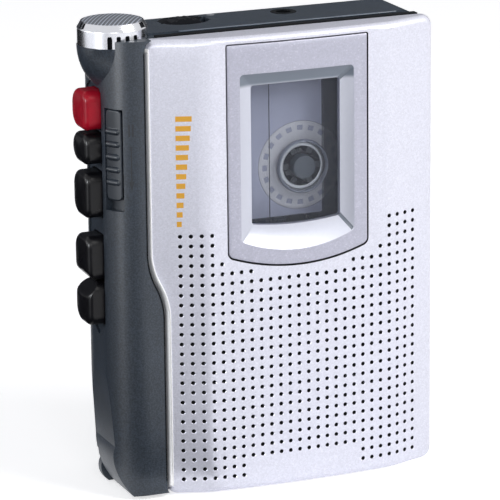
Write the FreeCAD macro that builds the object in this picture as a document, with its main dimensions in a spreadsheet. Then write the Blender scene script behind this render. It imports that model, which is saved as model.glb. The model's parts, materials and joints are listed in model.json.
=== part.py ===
import FreeCAD
import Part

import math
import os
import re

import Sketcher

# Compact cassette voice recorder standing on its base.
# X runs from the key side to the hinge side, Y from the lid to the battery side, Z up.
# The origin is the middle of the base of the box round the whole object.

doc = FreeCAD.newDocument("voice_recorder")
dims = doc.addObject("Spreadsheet::Sheet", "dims")
Vector = FreeCAD.Vector

DRIVING = {
    # case
    "case_left": -39.95,
    "case_right": 43.45,
    "case_rear": 18.8,
    "case_top": 113.8,
    "case_wall": 1.9,
    "seam": -2.6,
    "grip_front": -14.8,
    "grip_round": 8.3,
    "flank_start": 3.9,
    "flank_end": -33.9,
    "flank_turn": 22.1,
    "flank_round": 14.0,
    "rear_round_left": 7.0,
    "rear_round_right": 9.0,
    "top_rear_round": 10.5,
    "base_round": 4.5,
    "base_lift": 1.2,
    "base_slope": 8.0,
    "foot_rise": 30.0,
    "foot_knee": 13.0,
    "foot_inset": 0.8,
    "side_foot": 5.0,
    "side_foot_round": 14.0,
    "flank_foot": 6.5,
    "flank_foot_round": 18.0,
    "shoulder_round": 3.4,
    "ledge_back": -6.3,
    "ledge_drop": 0.6,
    # lid
    "lid_left": -31.05,
    "lid_low_left": -27.05,
    "lid_right": 44.25,
    "lid_top": 113.5,
    "lid_bottom": 0.4,
    "lid_back": -10.8,
    "lid_ridge": -18.8,
    "lid_wall": 1.6,
    "lid_gap": 0.4,
    "lid_corner": 2.6,
    "ridge_x": 7.25,
    "crease_half": 24.0,
    "curve_radius": 266.0,
    "band_drop": 0.35,
    "sweep_top": 61.8,
    "sweep_bottom": 45.2,
    "sweep_radius": 17.9,
    # hinge of the lid
    "hinge_x": 42.55,
    "hinge_y": -8.8,
    "barrel_radius": 1.7,
    "barrel_bottom": 7.0,
    "barrel_top": 106.6,
    "hinge_pin_radius": 0.8,
    "hinge_clear": 0.05,
    "hinge_pin_depth": 5.0,
    "hinge_seat": 3.0,
    "hinge_room": 0.3,
    # speaker holes
    "hole_pitch": 2.45,
    "hole_radius": 0.5,
    "grid_x": 7.25,
    "grid_z": 34.8,
    "hole_field": 15.6,
    # window insert, bezel and pane
    "insert_left": -11.75,
    "insert_right": 24.65,
    "insert_top": 111.5,
    "insert_foot": 59.6,
    "insert_curve": 51.8,
    "insert_round": 1.6,
    "insert_back": -15.3,
    "bezel_left": -8.45,
    "bezel_right": 20.95,
    "bezel_top": 104.1,
    "bezel_foot": 63.2,
    "bezel_curve": 36.0,
    "pane_left": -5.35,
    "pane_right": 17.85,
    "pane_head": 101.1,
    "pane_foot": 66.9,
    "pane_curve": 75.0,
    "pane_front": -16.7,
    "pane_thick": 1.2,
    "trim_gap": 0.15,
    # cassette
    "hub_x": 11.25,
    "cassette_z": 56.7,
    "cassette_y": -4.5,
    "cassette_long": 100.4,
    "cassette_wide": 63.8,
    "cassette_open_edge": -23.35,
    "cassette_thin_half": 4.35,
    "cassette_thick_half": 6.0,
    "cassette_shell": 1.3,
    "head_zone": 15.5,
    "hub_pitch": 42.5,
    "hub_hole": 6.25,
    "hub_ring": 11.0,
    "hub_bore": 4.95,
    "tape_line": -21.35,
    "capstan_hole": 3.1,
    "capstan_offset": 28.7,
    "capstan_x": -20.25,
    "guide_offset": 45.4,
    # deck
    "deck_front": 1.7,
    "deck_back": 2.5,
    "well_gap": 0.35,
    # keys
    "key_out": -44.25,
    "key_in": -38.9,
    "key_front": -6.9,
    "key_rear": 2.8,
    "key_gap": 0.25,
    "key_front_round": 2.2,
    "key_rear_round": 3.4,
    "key_travel": 3.5,
    "channel_depth": 0.6,
    "channel_low": 43.4,
    "channel_high": 100.6,
    "channel_point": 3.6,
    "lever_tail": -22.0,
    "bracket_back": -15.5,
    # microphone
    "mic_x": -35.45,
    "mic_y": -3.8,
    "mic_radius": 8.45,
    "mic_seat": 111.8,
    "mic_shoulder": 115.8,
    "mic_top": 117.86,
    "mic_rim": 7.45,
    "mic_inner": 7.5,
    "capsule_radius": 4.85,
    "bulge_height": 11.5,
    # volume wheel
    "wheel_x": -14.05,
    "wheel_y": 4.7,
    "wheel_z": 106.1,
    "wheel_radius": 8.5,
    "wheel_thick": 3.4,
    "wheel_slot_gap": 0.35,
    "scoop_high": 8.0,
    "scoop_half": 9.4,
    "scoop_half_deep": 7.6,
    "scoop_lift": 5.8,
    # battery bay
    "cell_radius": 7.1,
    "cell_y": 9.65,
    "cell_left_x": 19.55,
    "cell_right_x": 33.95,
    "bay_left": 12.3,
    "bay_bottom": 2.3,
    "bay_top": 58.7,
    "door_bottom": 7.0,
    "door_top": 60.5,
    "door_front": 9.9,
    "door_gap": 0.15,
    "door_grip_low": 46.0,
    "door_grip_pitch": 2.2,
    "bay_wall": 1.2,
    "cell_long": 50.5,
    "cell_bottom": 6.0,
    # inside the front frame
    "panel_thick": 1.4,
    "rib": 1.2,
    "ledge_left": -31.45,
    # screws that close the case, as places on the X-Z plane
    "screw_foot_x": -32.0,
    "screw_foot_z": 8.0,
    "screw_base_x": 8.0,
    "screw_base_z": 3.6,
    "screw_head_x": -26.0,
    "screw_head_z": 102.0,
    "boss_radius": 2.1,
    "column_radius": 2.6,
    "column_bore": 2.1,
    "column_floor": 0.0,
    "screw_radius": 1.0,
    "screw_cap": 1.9,
    "screw_tip": -8.6,
    # deck
    "deck_left": -32.4,
    "deck_right": 40.2,
    "deck_low": 2.8,
    "deck_high": 111.0,
    "post_radius": 1.8,
    "post_left_x": -27.5,
    "post_right_x": 37.0,
    "post_low_z": 8.6,
    "post_high_z": 90.5,
    "post_foot_z": 4.1,
    "post_head_z": 109.7,
    "deck_screw": 0.8,
    # flywheel, motor and drive
    "capstan_z": 28.0,
    "capstan_radius": 1.0,
    "bearing_radius": 2.3,
    "run_clear": 0.03,
    "flywheel_radius": 13.2,
    "flywheel_front": 9.0,
    "flywheel_back": 13.8,
    "belt_low": 12.3,
    "belt_high": 13.3,
    "groove_radius": 12.5,
    "drive_wheel": 10.7,
    "idler_x": 0.5,
    "idler_z": 29.0,
    "idler_radius": 9.8,
    "idler_front": 5.3,
    "idler_stem": 1.6,
    "motor_x": 16.0,
    "motor_z": 88.0,
    "motor_radius": 11.0,
    "motor_front": 2.6,
    "motor_back": 11.4,
    "pulley_radius": 2.6,
    # reels
    "table_radius": 7.0,
    "spindle_radius": 2.8,
    "spline_reach": 4.1,
    "spindle_tip": -8.2,
    "axle_radius": 1.0,
    "pack_radius": 24.5,
    "pack_half": 1.9,
    # heads and pinch roller
    "head_face": -24.4,
    "head_tail": -33.4,
    "head_gap_low": 10.5,
    "head_gap_high": 87.0,
    "pinch_radius": 5.5,
    "pinch_rest_x": -29.95,
    "pinch_pivot_x": -30.5,
    "pinch_pivot_z": 16.0,
    # pause slider on the round of the grip, angles from the key side
    "slot_low_angle": 16.0,
    "slot_high_angle": 53.0,
    "slot_bottom": 72.4,
    "slot_top": 97.4,
    "slider_bottom": 75.0,
    "slider_proud": 0.45,
    "slider_first_rib": 79.0,
    "slider_rib_pitch": 3.1,
    "slider_rib": 1.0,
    # strap lug
    "lug_y": 2.0,
    "lug_thick": 2.0,
    "lug_bottom": 0.4,
    "lug_top": 8.6,
    "lug_left": -37.0,
    "lug_floor_x": -36.2,
    "lug_root_x": -34.6,
    # speaker
    "speaker_x": 6.25,
    "speaker_z": 33.0,
    "speaker_radius": 18.0,
    "speaker_front": -16.3,
    "magnet_radius": 9.0,
    # plate inside the lid, with its screws and catch
    "plate_front": -12.0,
    "plate_back": -11.1,
    "plate_left": -24.5,
    "plate_low_left": -22.5,
    "plate_right": 39.6,
    "plate_low": 4.0,
    "plate_high": 109.5,
    "plate_step_low": 52.0,
    "plate_step_high": 58.0,
    "lid_screw": 0.7,
    "lid_screw_left": -19.0,
    "lid_screw_right": 36.0,
    "lid_screw_low": 9.0,
    "lid_screw_high": 104.0,
    "spring_x": 20.0,
    "spring_low": 20.0,
    "spring_high": 93.0,
    "spring_bow": 1.6,
    "spring_thick": 0.25,
    "latch_x": -27.6,
    "latch_low": 94.0,
    "latch_high": 98.0,
    # circuit board, sockets and lamp
    "board_front": 8.6,
    "board_back": 9.8,
    "board_left": -34.6,
    "board_right": 3.4,
    "board_low": 52.0,
    "board_high": 106.5,
    "board_step": -6.0,
    "ear_x": 12.0,
    "ear_y": 4.2,
    "ear_recess": 0.4,
    "ear_depth": 13.2,
    "ear_half": 3.4,
    "socket_y": 6.2,
    "mic_socket_z": 86.0,
    "power_z": 70.0,
    "plug_radius": 1.78,
    "socket_nose": 2.9,
    "lamp_x": -5.6,
    "lamp_y": 8.2,
    "lamp_radius": 1.0,
}


def sheet_refs(text):
    """Give every sheet name in an expression the sheet's own prefix."""
    return re.sub(r"[a-z_]+", lambda word: "dims." + word.group(0) if word.group(0) in DRIVING else word.group(0),
                  str(text))


def size(text):
    """Value of an expression on the sheet, in millimetres."""
    value = dims.evalExpression(str(text))
    return float(getattr(value, "Value", value))


def bind(item, **expressions):
    """Tie properties of a document object to the sheet."""
    for name, text in expressions.items():
        item.setExpression(name.replace("__", "."), sheet_refs(text))


for row, (alias, value) in enumerate(DRIVING.items(), start=1):
    dims.set(f"A{row}", alias.replace("_", " "))
    dims.set(f"B{row}", str(value))
    dims.setAlias(f"B{row}", alias)
doc.recompute()

PLANES = {"XY": "XY_Plane", "XZ": "XZ_Plane", "YZ": "YZ_Plane"}


def place(item, x, y, z):
    bind(item, Placement__Base__x=x, Placement__Base__y=y, Placement__Base__z=z)


def block(name, x, y, z):
    """Box between two values on each axis."""
    item = doc.addObject("Part::Box", name)
    bind(item, Length=f"({x[1]}) - ({x[0]})", Width=f"({y[1]}) - ({y[0]})", Height=f"({z[1]}) - ({z[0]})")
    place(item, x[0], y[0], z[0])
    return item


def turn_to(axis):
    if axis == "Y":
        return FreeCAD.Rotation(Vector(1, 0, 0), -90)
    if axis == "X":
        return FreeCAD.Rotation(Vector(0, 1, 0), 90)
    return FreeCAD.Rotation()


def start_point(axis, centre, low):
    if axis == "X":
        return low, centre[0], centre[1]
    if axis == "Y":
        return centre[0], low, centre[1]
    return centre[0], centre[1], low


def rod(name, axis, centre, span, radius):
    """Cylinder along an axis; centre holds the two other coordinates in X, Y, Z order."""
    item = doc.addObject("Part::Cylinder", name)
    item.Placement = FreeCAD.Placement(Vector(), turn_to(axis))
    bind(item, Radius=radius, Height=f"({span[1]}) - ({span[0]})")
    place(item, *start_point(axis, centre, span[0]))
    return item


def taper(name, axis, centre, span, radius_low, radius_high):
    item = doc.addObject("Part::Cone", name)
    item.Placement = FreeCAD.Placement(Vector(), turn_to(axis))
    bind(item, Radius1=radius_low, Radius2=radius_high, Height=f"({span[1]}) - ({span[0]})")
    place(item, *start_point(axis, centre, span[0]))
    return item


def fuse(name, *parts):
    item = doc.addObject("Part::MultiFuse", name)
    item.Shapes = list(parts)
    item.Refine = True
    return item


def common(name, *parts):
    item = doc.addObject("Part::MultiCommon", name)
    item.Shapes = list(parts)
    return item


def cut(name, base, *tools):
    item = doc.addObject("Part::Cut", name)
    item.Base = base
    item.Tool = tools[0] if len(tools) == 1 else fuse(name + "_tools", *tools)
    item.Refine = True
    return item


def group(name, *parts):
    item = doc.addObject("Part::Compound", name)
    item.Links = list(parts)
    return item


def edge_between(start, end, corner):
    """Line, or arc on the side that its corner asks for, and the number that a sketch gives to its start."""
    if "arc" not in corner and "hollow" not in corner:
        return Part.LineSegment(start, end), 1
    first, last = (end, start) if "hollow" in corner else (start, end)
    radius = size(corner.get("arc") or corner["hollow"])
    along = last - first
    left = Vector(-along.y, along.x, 0).normalize()
    centre = (first + last) * 0.5 + left * math.sqrt(radius ** 2 - (along.Length / 2) ** 2)
    angles = [math.atan2(point.y - centre.y, point.x - centre.x) for point in (first, last)]
    if angles[1] < angles[0]:
        angles[1] += 2 * math.pi
    arc = Part.ArcOfCircle(Part.Circle(centre, Vector(0, 0, 1), radius), *angles)
    return arc, 2 if "hollow" in corner else 1


def outline(name, plane, span, corners):
    """Prism from a closed sketch whose corners run anticlockwise.

    A corner is (u, v) with the keys round, for a rounded corner, and arc or hollow, for the radius of an
    outward or inward arc that leaves it. Each value is an expression on the sheet.
    """
    body = doc.addObject("PartDesign::Body", name)
    offset = f"-({span[1]})" if plane == "XZ" else span[0]
    sketch = section_sketch(body, name + "_sketch", plane, offset, corners)
    pad = body.newObject("PartDesign::Pad", name + "_pad")
    pad.Profile = sketch
    pad.setExpression("Length", sheet_refs(f"({span[1]}) - ({span[0]})"))
    points = [Vector(size(corner["u"]), size(corner["v"]), 0) for corner in corners]
    round_corners(body, pad, name, plane, corners, points)
    return body


def section_sketch(body, name, plane, offset, corners):
    """Closed sketch on one of the body's planes, moved along the plane's normal by offset."""
    sketch = body.newObject("Sketcher::SketchObject", name)
    base = next(item for item in body.Origin.OriginFeatures if item.Role == PLANES[plane])
    sketch.AttachmentSupport = (base, [""])
    sketch.MapMode = "FlatFace"
    sketch.setExpression("AttachmentOffset.Base.z", sheet_refs(offset))
    points = [Vector(size(corner["u"]), size(corner["v"]), 0) for corner in corners]
    count = len(points)
    starts = []
    for index, corner in enumerate(corners):
        edge, start_number = edge_between(points[index], points[(index + 1) % count], corner)
        sketch.addGeometry(edge)
        starts.append(start_number)
    for index, corner in enumerate(corners):
        following = (index + 1) % count
        for kind, key, value in (("DistanceX", "u", points[index].x), ("DistanceY", "v", points[index].y)):
            number = sketch.addConstraint(Sketcher.Constraint(kind, -1, 1, index, starts[index], value))
            sketch.setExpression(f"Constraints[{number}]", sheet_refs(corner[key]))
        sketch.addConstraint(Sketcher.Constraint("Coincident", index, 3 - starts[index],
                                                 following, starts[following]))
        radius = corner.get("arc") or corner.get("hollow")
        if radius:
            number = sketch.addConstraint(Sketcher.Constraint("Radius", index, size(radius)))
            sketch.setExpression(f"Constraints[{number}]", sheet_refs(radius))
    return sketch


def on_plane(plane, point):
    if plane == "XY":
        return point.x, point.y
    if plane == "XZ":
        return point.x, point.z
    return point.y, point.z


def round_corners(body, feature, name, plane, corners, points):
    """Round the edges that stand on the marked corners, one fillet for each radius."""
    for radius in dict.fromkeys(corner["round"] for corner in corners if "round" in corner):
        doc.recompute()
        wanted = [points[index] for index, corner in enumerate(corners) if corner.get("round") == radius]
        edges = []
        for number, edge in enumerate(feature.Shape.Edges, start=1):
            ends = [on_plane(plane, vertex.Point) for vertex in edge.Vertexes]
            if len(ends) != 2 or math.dist(ends[0], ends[1]) > 1e-4:
                continue
            if any(math.dist(ends[0], (corner.x, corner.y)) < 1e-4 for corner in wanted):
                edges.append(f"Edge{number}")
        fillet = body.newObject("PartDesign::Fillet", f"{name}_round")
        fillet.Base = (feature, edges)
        fillet.setExpression("Radius", sheet_refs(radius))
        feature = fillet


def at(u, v, **more):
    return {"u": str(u), "v": str(v), **{key: str(value) for key, value in more.items()}}


def case_form(name, inset):
    """Outer form of the case, or its cavity when inset is the wall."""
    plan = outline(name + "_plan", "XY", (f"0 + {inset}", f"case_top - {inset}"), [
        at(f"case_left + {inset}", "grip_front + grip_round", arc=f"grip_round - {inset}"),
        at("case_left + grip_round", f"grip_front + {inset}"),
        at(f"case_right - {inset}", f"grip_front + {inset}"),
        at(f"case_right - {inset}", "case_rear - rear_round_right", arc=f"rear_round_right - {inset}"),
        at("case_right - rear_round_right", f"case_rear - {inset}"),
        at(f"flank_end + {inset} * tan(45 - flank_turn / 2)", f"case_rear - {inset}",
           round=f"rear_round_left - {inset}"),
        at(f"case_left + {inset}", f"flank_start - {inset} * tan(flank_turn / 2)", round=f"flank_round - {inset}"),
    ])
    front = outline(name + "_front", "XZ", ("-20", "20"), foot_edge("case_left", "side_foot", inset, [
        at(f"case_right - {inset}", inset, round=f"base_round - {inset} / 2"),
        at(f"case_right - {inset}", f"case_top - {inset}", round=f"base_round - {inset} / 2"),
        at(f"case_left + {inset}", f"case_top - {inset}", round=f"shoulder_round - {inset} / 2"),
    ]))
    side = outline(name + "_side", "YZ", ("-60", "60"), [
        at("grip_front - 1", f"base_lift + {inset}"),
        at("grip_front + base_slope", inset),
        at(f"case_rear - {inset}", inset, round=f"base_round - {inset} / 2"),
        at(f"case_rear - {inset}", "case_top - top_rear_round", arc=f"top_rear_round - {inset}"),
        at("case_rear - top_rear_round", f"case_top - {inset}"),
        at("grip_front - 1", f"case_top - {inset}"),
    ])
    flank = outline(name + "_flank", "XZ", ("-60", "60"), foot_edge("0", "flank_foot", inset, [
        at("120", inset), at("120", "130"), at(f"{inset} - 2", "130"),
    ]))
    flank.Placement = FreeCAD.Placement(Vector(), FreeCAD.Rotation(Vector(0, 0, 1), -size("flank_turn")))
    place(flank, "case_left", "flank_start", "0")
    return common(name, plan, front, side, flank)


def foot_edge(left, foot, inset, others):
    """Outline whose left side draws in towards the base, first in a slight slope and then in an arc."""
    return [at(f"{left} + {foot} + {inset}", inset), *others,
            at(f"{left} + {inset}", "foot_rise"),
            at(f"{left} + foot_inset + {inset}", "foot_knee", arc=f"{foot}_round - {inset}")]


def lid_edge(grow):
    """Front outline of the lid, moved outwards by grow: square at the hinge, swept in beside the grip."""
    return [
        at(f"lid_low_left - ({grow})", f"lid_bottom - ({grow})", round="lid_corner"),
        at(f"lid_right + ({grow})", f"lid_bottom - ({grow})", round="lid_corner"),
        at(f"lid_right + ({grow})", f"lid_top + ({grow})", round="lid_corner"),
        at(f"lid_left - ({grow})", f"lid_top + ({grow})", round="lid_corner"),
        at(f"lid_left - ({grow})", "sweep_top", arc=f"sweep_radius + ({grow})"),
        at(f"(lid_left + lid_low_left) / 2 - ({grow})", "(sweep_top + sweep_bottom) / 2",
           hollow=f"sweep_radius - ({grow})"),
        at(f"lid_low_left - ({grow})", "sweep_bottom"),
    ]


CREASE_SAG = "(curve_radius - sqrt(curve_radius ^ 2 - crease_half ^ 2))"


def lid_section(name, grow, back, span):
    """Curved front of the lid with a flat band sloping back on each side of the middle."""
    front = f"lid_ridge - ({grow})"
    return outline(name, "XY", span, [
        at(f"lid_left - ({grow})", f"{front} + {CREASE_SAG} + (ridge_x - crease_half - lid_left) * band_drop"),
        at("ridge_x - crease_half", f"{front} + {CREASE_SAG}", arc=f"curve_radius + ({grow})"),
        at("ridge_x + crease_half", f"{front} + {CREASE_SAG}"),
        at(f"lid_right + ({grow})", f"{front} + {CREASE_SAG} + (lid_right - ridge_x - crease_half) * band_drop"),
        at(f"lid_right + ({grow})", back),
        at(f"lid_left - ({grow})", back),
    ])


def insert_edge(grow):
    return [
        at(f"insert_left - ({grow})", f"insert_foot - ({grow})", arc=f"insert_curve + ({grow})",
           round="insert_round"),
        at(f"insert_right + ({grow})", f"insert_foot - ({grow})", round="insert_round"),
        at(f"insert_right + ({grow})", f"insert_top + ({grow})"),
        at(f"insert_left - ({grow})", f"insert_top + ({grow})"),
    ]


nodes = {}


def keep(name, item):
    """Register a finished piece under its node name."""
    item.Label = name
    nodes[name] = item
    return item


# Case and lid forms that several pieces share
shell = case_form("case_outer", "0")
cavity = case_form("case_cavity", "case_wall")
lid_space = outline("lid_space", "XZ", ("-22", "lid_back + 0.15"), lid_edge("lid_gap"))
lid_form = common("lid_form", lid_section("lid_outer_section", "0", "lid_back", ("lid_bottom", "lid_top")),
                  outline("lid_outer_edge", "XZ", ("-22", "0"), lid_edge("0")))
lid_hollow = common("lid_hollow",
                    lid_section("lid_inner_section", "-lid_wall", "lid_back + 1",
                                ("lid_bottom + lid_wall", "lid_top - lid_wall")),
                    outline("lid_inner_edge", "XZ", ("-22", "0"), lid_edge("-lid_wall")))

CASE_SCREWS = [("screw_foot_x", "screw_foot_z"), ("screw_base_x", "screw_base_z"), ("screw_head_x", "screw_head_z")]
DECK_POSTS = [("post_left_x", "post_low_z"), ("post_left_x", "post_high_z"),
              ("post_right_x", "post_foot_z"), ("post_right_x", "post_head_z")]
HUBS = {"take_up": "cassette_z - hub_pitch / 2", "supply": "cassette_z + hub_pitch / 2"}

# Key name: bottom, top, bevel below and bevel above at the outer face, round at the rear
KEYS = {
    "record_key": ("91.3", "100.9", "0.8", "0.8", "key_rear_round + 0.8"),
    "stop_key": ("82.9", "90.4", "0.7", "0.7", "key_rear_round"),
    "play_key": ("69.7", "80.9", "0.9", "0.9", "key_rear_round"),
    "rewind_key": ("54.0", "65.2", "2.4", "0.9", "key_rear_round"),
    "forward_key": ("43.0", "53.7", "0.9", "3.2", "key_rear_round"),
}


def key_section(name, span, key, grow):
    """Prism across the case wall with the key's rounded outline, moved outwards by grow."""
    low, high, rear_round = KEYS[key][0], KEYS[key][1], KEYS[key][4]
    front, rear = f"key_front - ({grow})", f"key_rear + ({grow})"
    return outline(name, "YZ", span, [
        at(front, f"{low} - ({grow})", round=f"key_front_round + {grow}"),
        at(rear, f"{low} - ({grow})", round=f"{rear_round} + {grow}"),
        at(rear, f"{high} + ({grow})", round=f"{rear_round} + {grow}"),
        at(front, f"{high} + ({grow})", round=f"key_front_round + {grow}"),
    ])


def key_windows(name):
    """Openings for the five key caps and the shallow pointed channel round them."""
    tools = [outline(name + "_channel", "YZ", ("case_left - 3", "case_left + channel_depth"), [
        at("key_front - 0.3", "channel_low"), at("seam", "channel_low - channel_point"),
        at("key_rear + 0.3", "channel_low"), at("key_rear + 0.3", "channel_high"),
        at("seam", "channel_high + channel_point"), at("key_front - 0.3", "channel_high"),
    ])]
    for key in KEYS:
        tools.append(key_section(f"{name}_{key}", ("key_out - 2", "key_in + key_travel + 0.3"), key, "key_gap"))
    return tools


def half_ellipsoid(name, grow):
    """Lower half of the round bulge that carries the microphone."""
    item = doc.addObject("Part::Ellipsoid", name)
    bind(item, Radius1=f"bulge_height + ({grow})", Radius2=f"mic_radius + 0.15 + ({grow})",
         Radius3=f"mic_radius + 0.15 + ({grow})")
    item.Angle1 = -90
    item.Angle2 = 0
    place(item, "mic_x", "mic_y", "mic_seat")
    return item


def front_frame():
    """Front half of the case: grip, lid recess, cassette well and hinge ears."""
    rim = common("recess_rim", shell, outline("recess_rim_edge", "XZ", ("-22", "lid_back + panel_thick"),
                                              lid_edge("lid_gap + panel_thick")))
    ears = []
    for index, span in enumerate((("0", "barrel_bottom - hinge_room"), ("barrel_top + hinge_room", "case_top"))):
        ears.append(block(f"hinge_ear_{index}", ("hinge_x - barrel_radius", "case_right"),
                          ("lid_back", "hinge_y + barrel_radius + hinge_room"), span))
    well = [block(f"well_rib_{index}", ("cassette_open_edge - well_gap", "case_right - 1"),
                  ("lid_back + 0.2", "seam"), span)
            for index, span in enumerate((
                ("cassette_z - cassette_long / 2 - well_gap - rib", "cassette_z - cassette_long / 2 - well_gap"),
                ("cassette_z + cassette_long / 2 + well_gap", "cassette_z + cassette_long / 2 + well_gap + rib")))]
    bosses = [rod(f"case_boss_{index}", "Y", spot, ("grip_front + 1", "seam"), "boss_radius")
              for index, spot in enumerate(CASE_SCREWS)]
    posts = [rod(f"deck_post_{index}", "Y", spot, ("lid_back + 0.2", "deck_front"), "post_radius")
             for index, spot in enumerate(DECK_POSTS)]
    inner = common("frame_inner", shell, fuse("frame_inner_parts", *ears, *well, *bosses, *posts))
    skin = cut("frame_skin", shell, cavity)
    front_space = block("front_space", ("-60", "60"), ("-30", "seam"), ("-1", "130"))
    skin = common("frame_front_skin", skin, front_space)
    body = fuse("frame_body", skin, rim, inner, half_ellipsoid("mic_bulge", "0"))
    opening = block("cassette_opening", ("cassette_open_edge - well_gap",
                                         "cassette_open_edge + cassette_wide + well_gap"),
                    ("lid_back - 1", "seam"),
                    ("cassette_z - cassette_long / 2 - well_gap", "cassette_z + cassette_long / 2 + well_gap"))
    head_gap = block("head_opening", ("deck_left - 3.2", "cassette_open_edge"), ("lid_back - 1", "lid_back + 2"),
                     ("head_gap_low", "head_gap_high"))
    barrel_slot = block("barrel_slot", ("hinge_x - barrel_radius - 0.05", "60"),
                        ("lid_back - 1", "hinge_y + barrel_radius + hinge_room"),
                        ("barrel_bottom - hinge_room", "barrel_top + hinge_room"))
    corner = cut("hinge_relief", block("hinge_relief_block", ("hinge_x", "60"), ("lid_back - 1", "hinge_y"),
                                       ("-1", "130")),
                 rod("hinge_core", "Z", ("hinge_x", "hinge_y"), ("-2", "131"), "barrel_radius"))
    tools = [lid_space, opening, head_gap, barrel_slot, corner]
    tools += key_windows("frame_windows")
    tools += [rod("mic_hole", "Z", ("mic_x", "mic_y"), ("mic_seat", "130"), "mic_radius + 0.15"),
              rod("mic_well", "Z", ("mic_x", "mic_y"), ("mic_seat - 4.5", "130"), "mic_inner - 0.5")]
    tools.append(block("ledge_cut", ("ledge_left", "case_right + 1"), ("lid_back - 1", "ledge_back"),
                       ("case_top - ledge_drop", "case_top + 1")))
    tools.append(sector("pause_slot", "0", "grip_round + 1", "slot_bottom", "slot_top", "0"))
    for index, spot in enumerate(CASE_SCREWS):
        tools.append(rod(f"boss_hole_{index}", "Y", spot, ("screw_tip", "seam + 1"), "screw_radius"))
    for index, spot in enumerate(DECK_POSTS):
        tools.append(rod(f"post_hole_{index}", "Y", spot, ("deck_front - 5", "deck_front + 1"), "deck_screw"))
    for index, span in enumerate((("barrel_bottom - hinge_room - hinge_seat", "barrel_bottom + 1"),
                                  ("barrel_top - 1", "barrel_top + hinge_room + hinge_seat"))):
        tools.append(rod(f"ear_hole_{index}", "Z", ("hinge_x", "hinge_y"), span, "hinge_pin_radius"))
    tools.append(block("latch_slot", ("latch_x - 1.1", "latch_x + 1.1"), ("lid_back - 1", "lid_back + 2"),
                       ("latch_low - 0.6", "latch_high + 0.6")))
    keep("front_frame", cut("front_frame", body, *tools))


def sector(name, inner, outer, low, high, widen):
    """Ring sector about the axis of the round at the grip's edge, between the two slot angles."""
    centre_x, centre_y = "(case_left + grip_round)", "(grip_front + grip_round)"

    def spot(radius, angle, **more):
        return at(f"{centre_x} - ({radius}) * cos({angle})", f"{centre_y} - ({radius}) * sin({angle})", **more)

    first, last = f"(slot_low_angle - ({widen}))", f"(slot_high_angle + ({widen}))"
    if inner == "0":
        corners = [at(centre_x, centre_y), spot(outer, first, arc=outer), spot(outer, last)]
    else:
        corners = [spot(inner, first), spot(outer, first, arc=outer), spot(outer, last),
                   spot(inner, last, hollow=inner)]
    return outline(name, "XY", (low, high), corners)


def pause_slider():
    """Ribbed slide that locks the tape, held behind the wall by its wider inner plate."""
    cap = sector("slider_cap", "grip_round - case_wall - 0.6", "grip_round - 0.1", "slider_bottom",
                 "slot_top - 0.2", "-1")
    plate = sector("slider_plate", "grip_round - case_wall - 1.2", "grip_round - case_wall - 0.3",
                   "slider_bottom - 3.4", "slot_top + 1.4", "6")
    ribs = [sector(f"slider_rib_{index}", "grip_round - 0.9", "grip_round + slider_proud",
                   f"slider_first_rib + {index} * slider_rib_pitch",
                   f"slider_first_rib + {index} * slider_rib_pitch + slider_rib", "-1") for index in range(5)]
    keep("pause_slider", fuse("pause_slider", cap, plate, *ribs))


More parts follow.
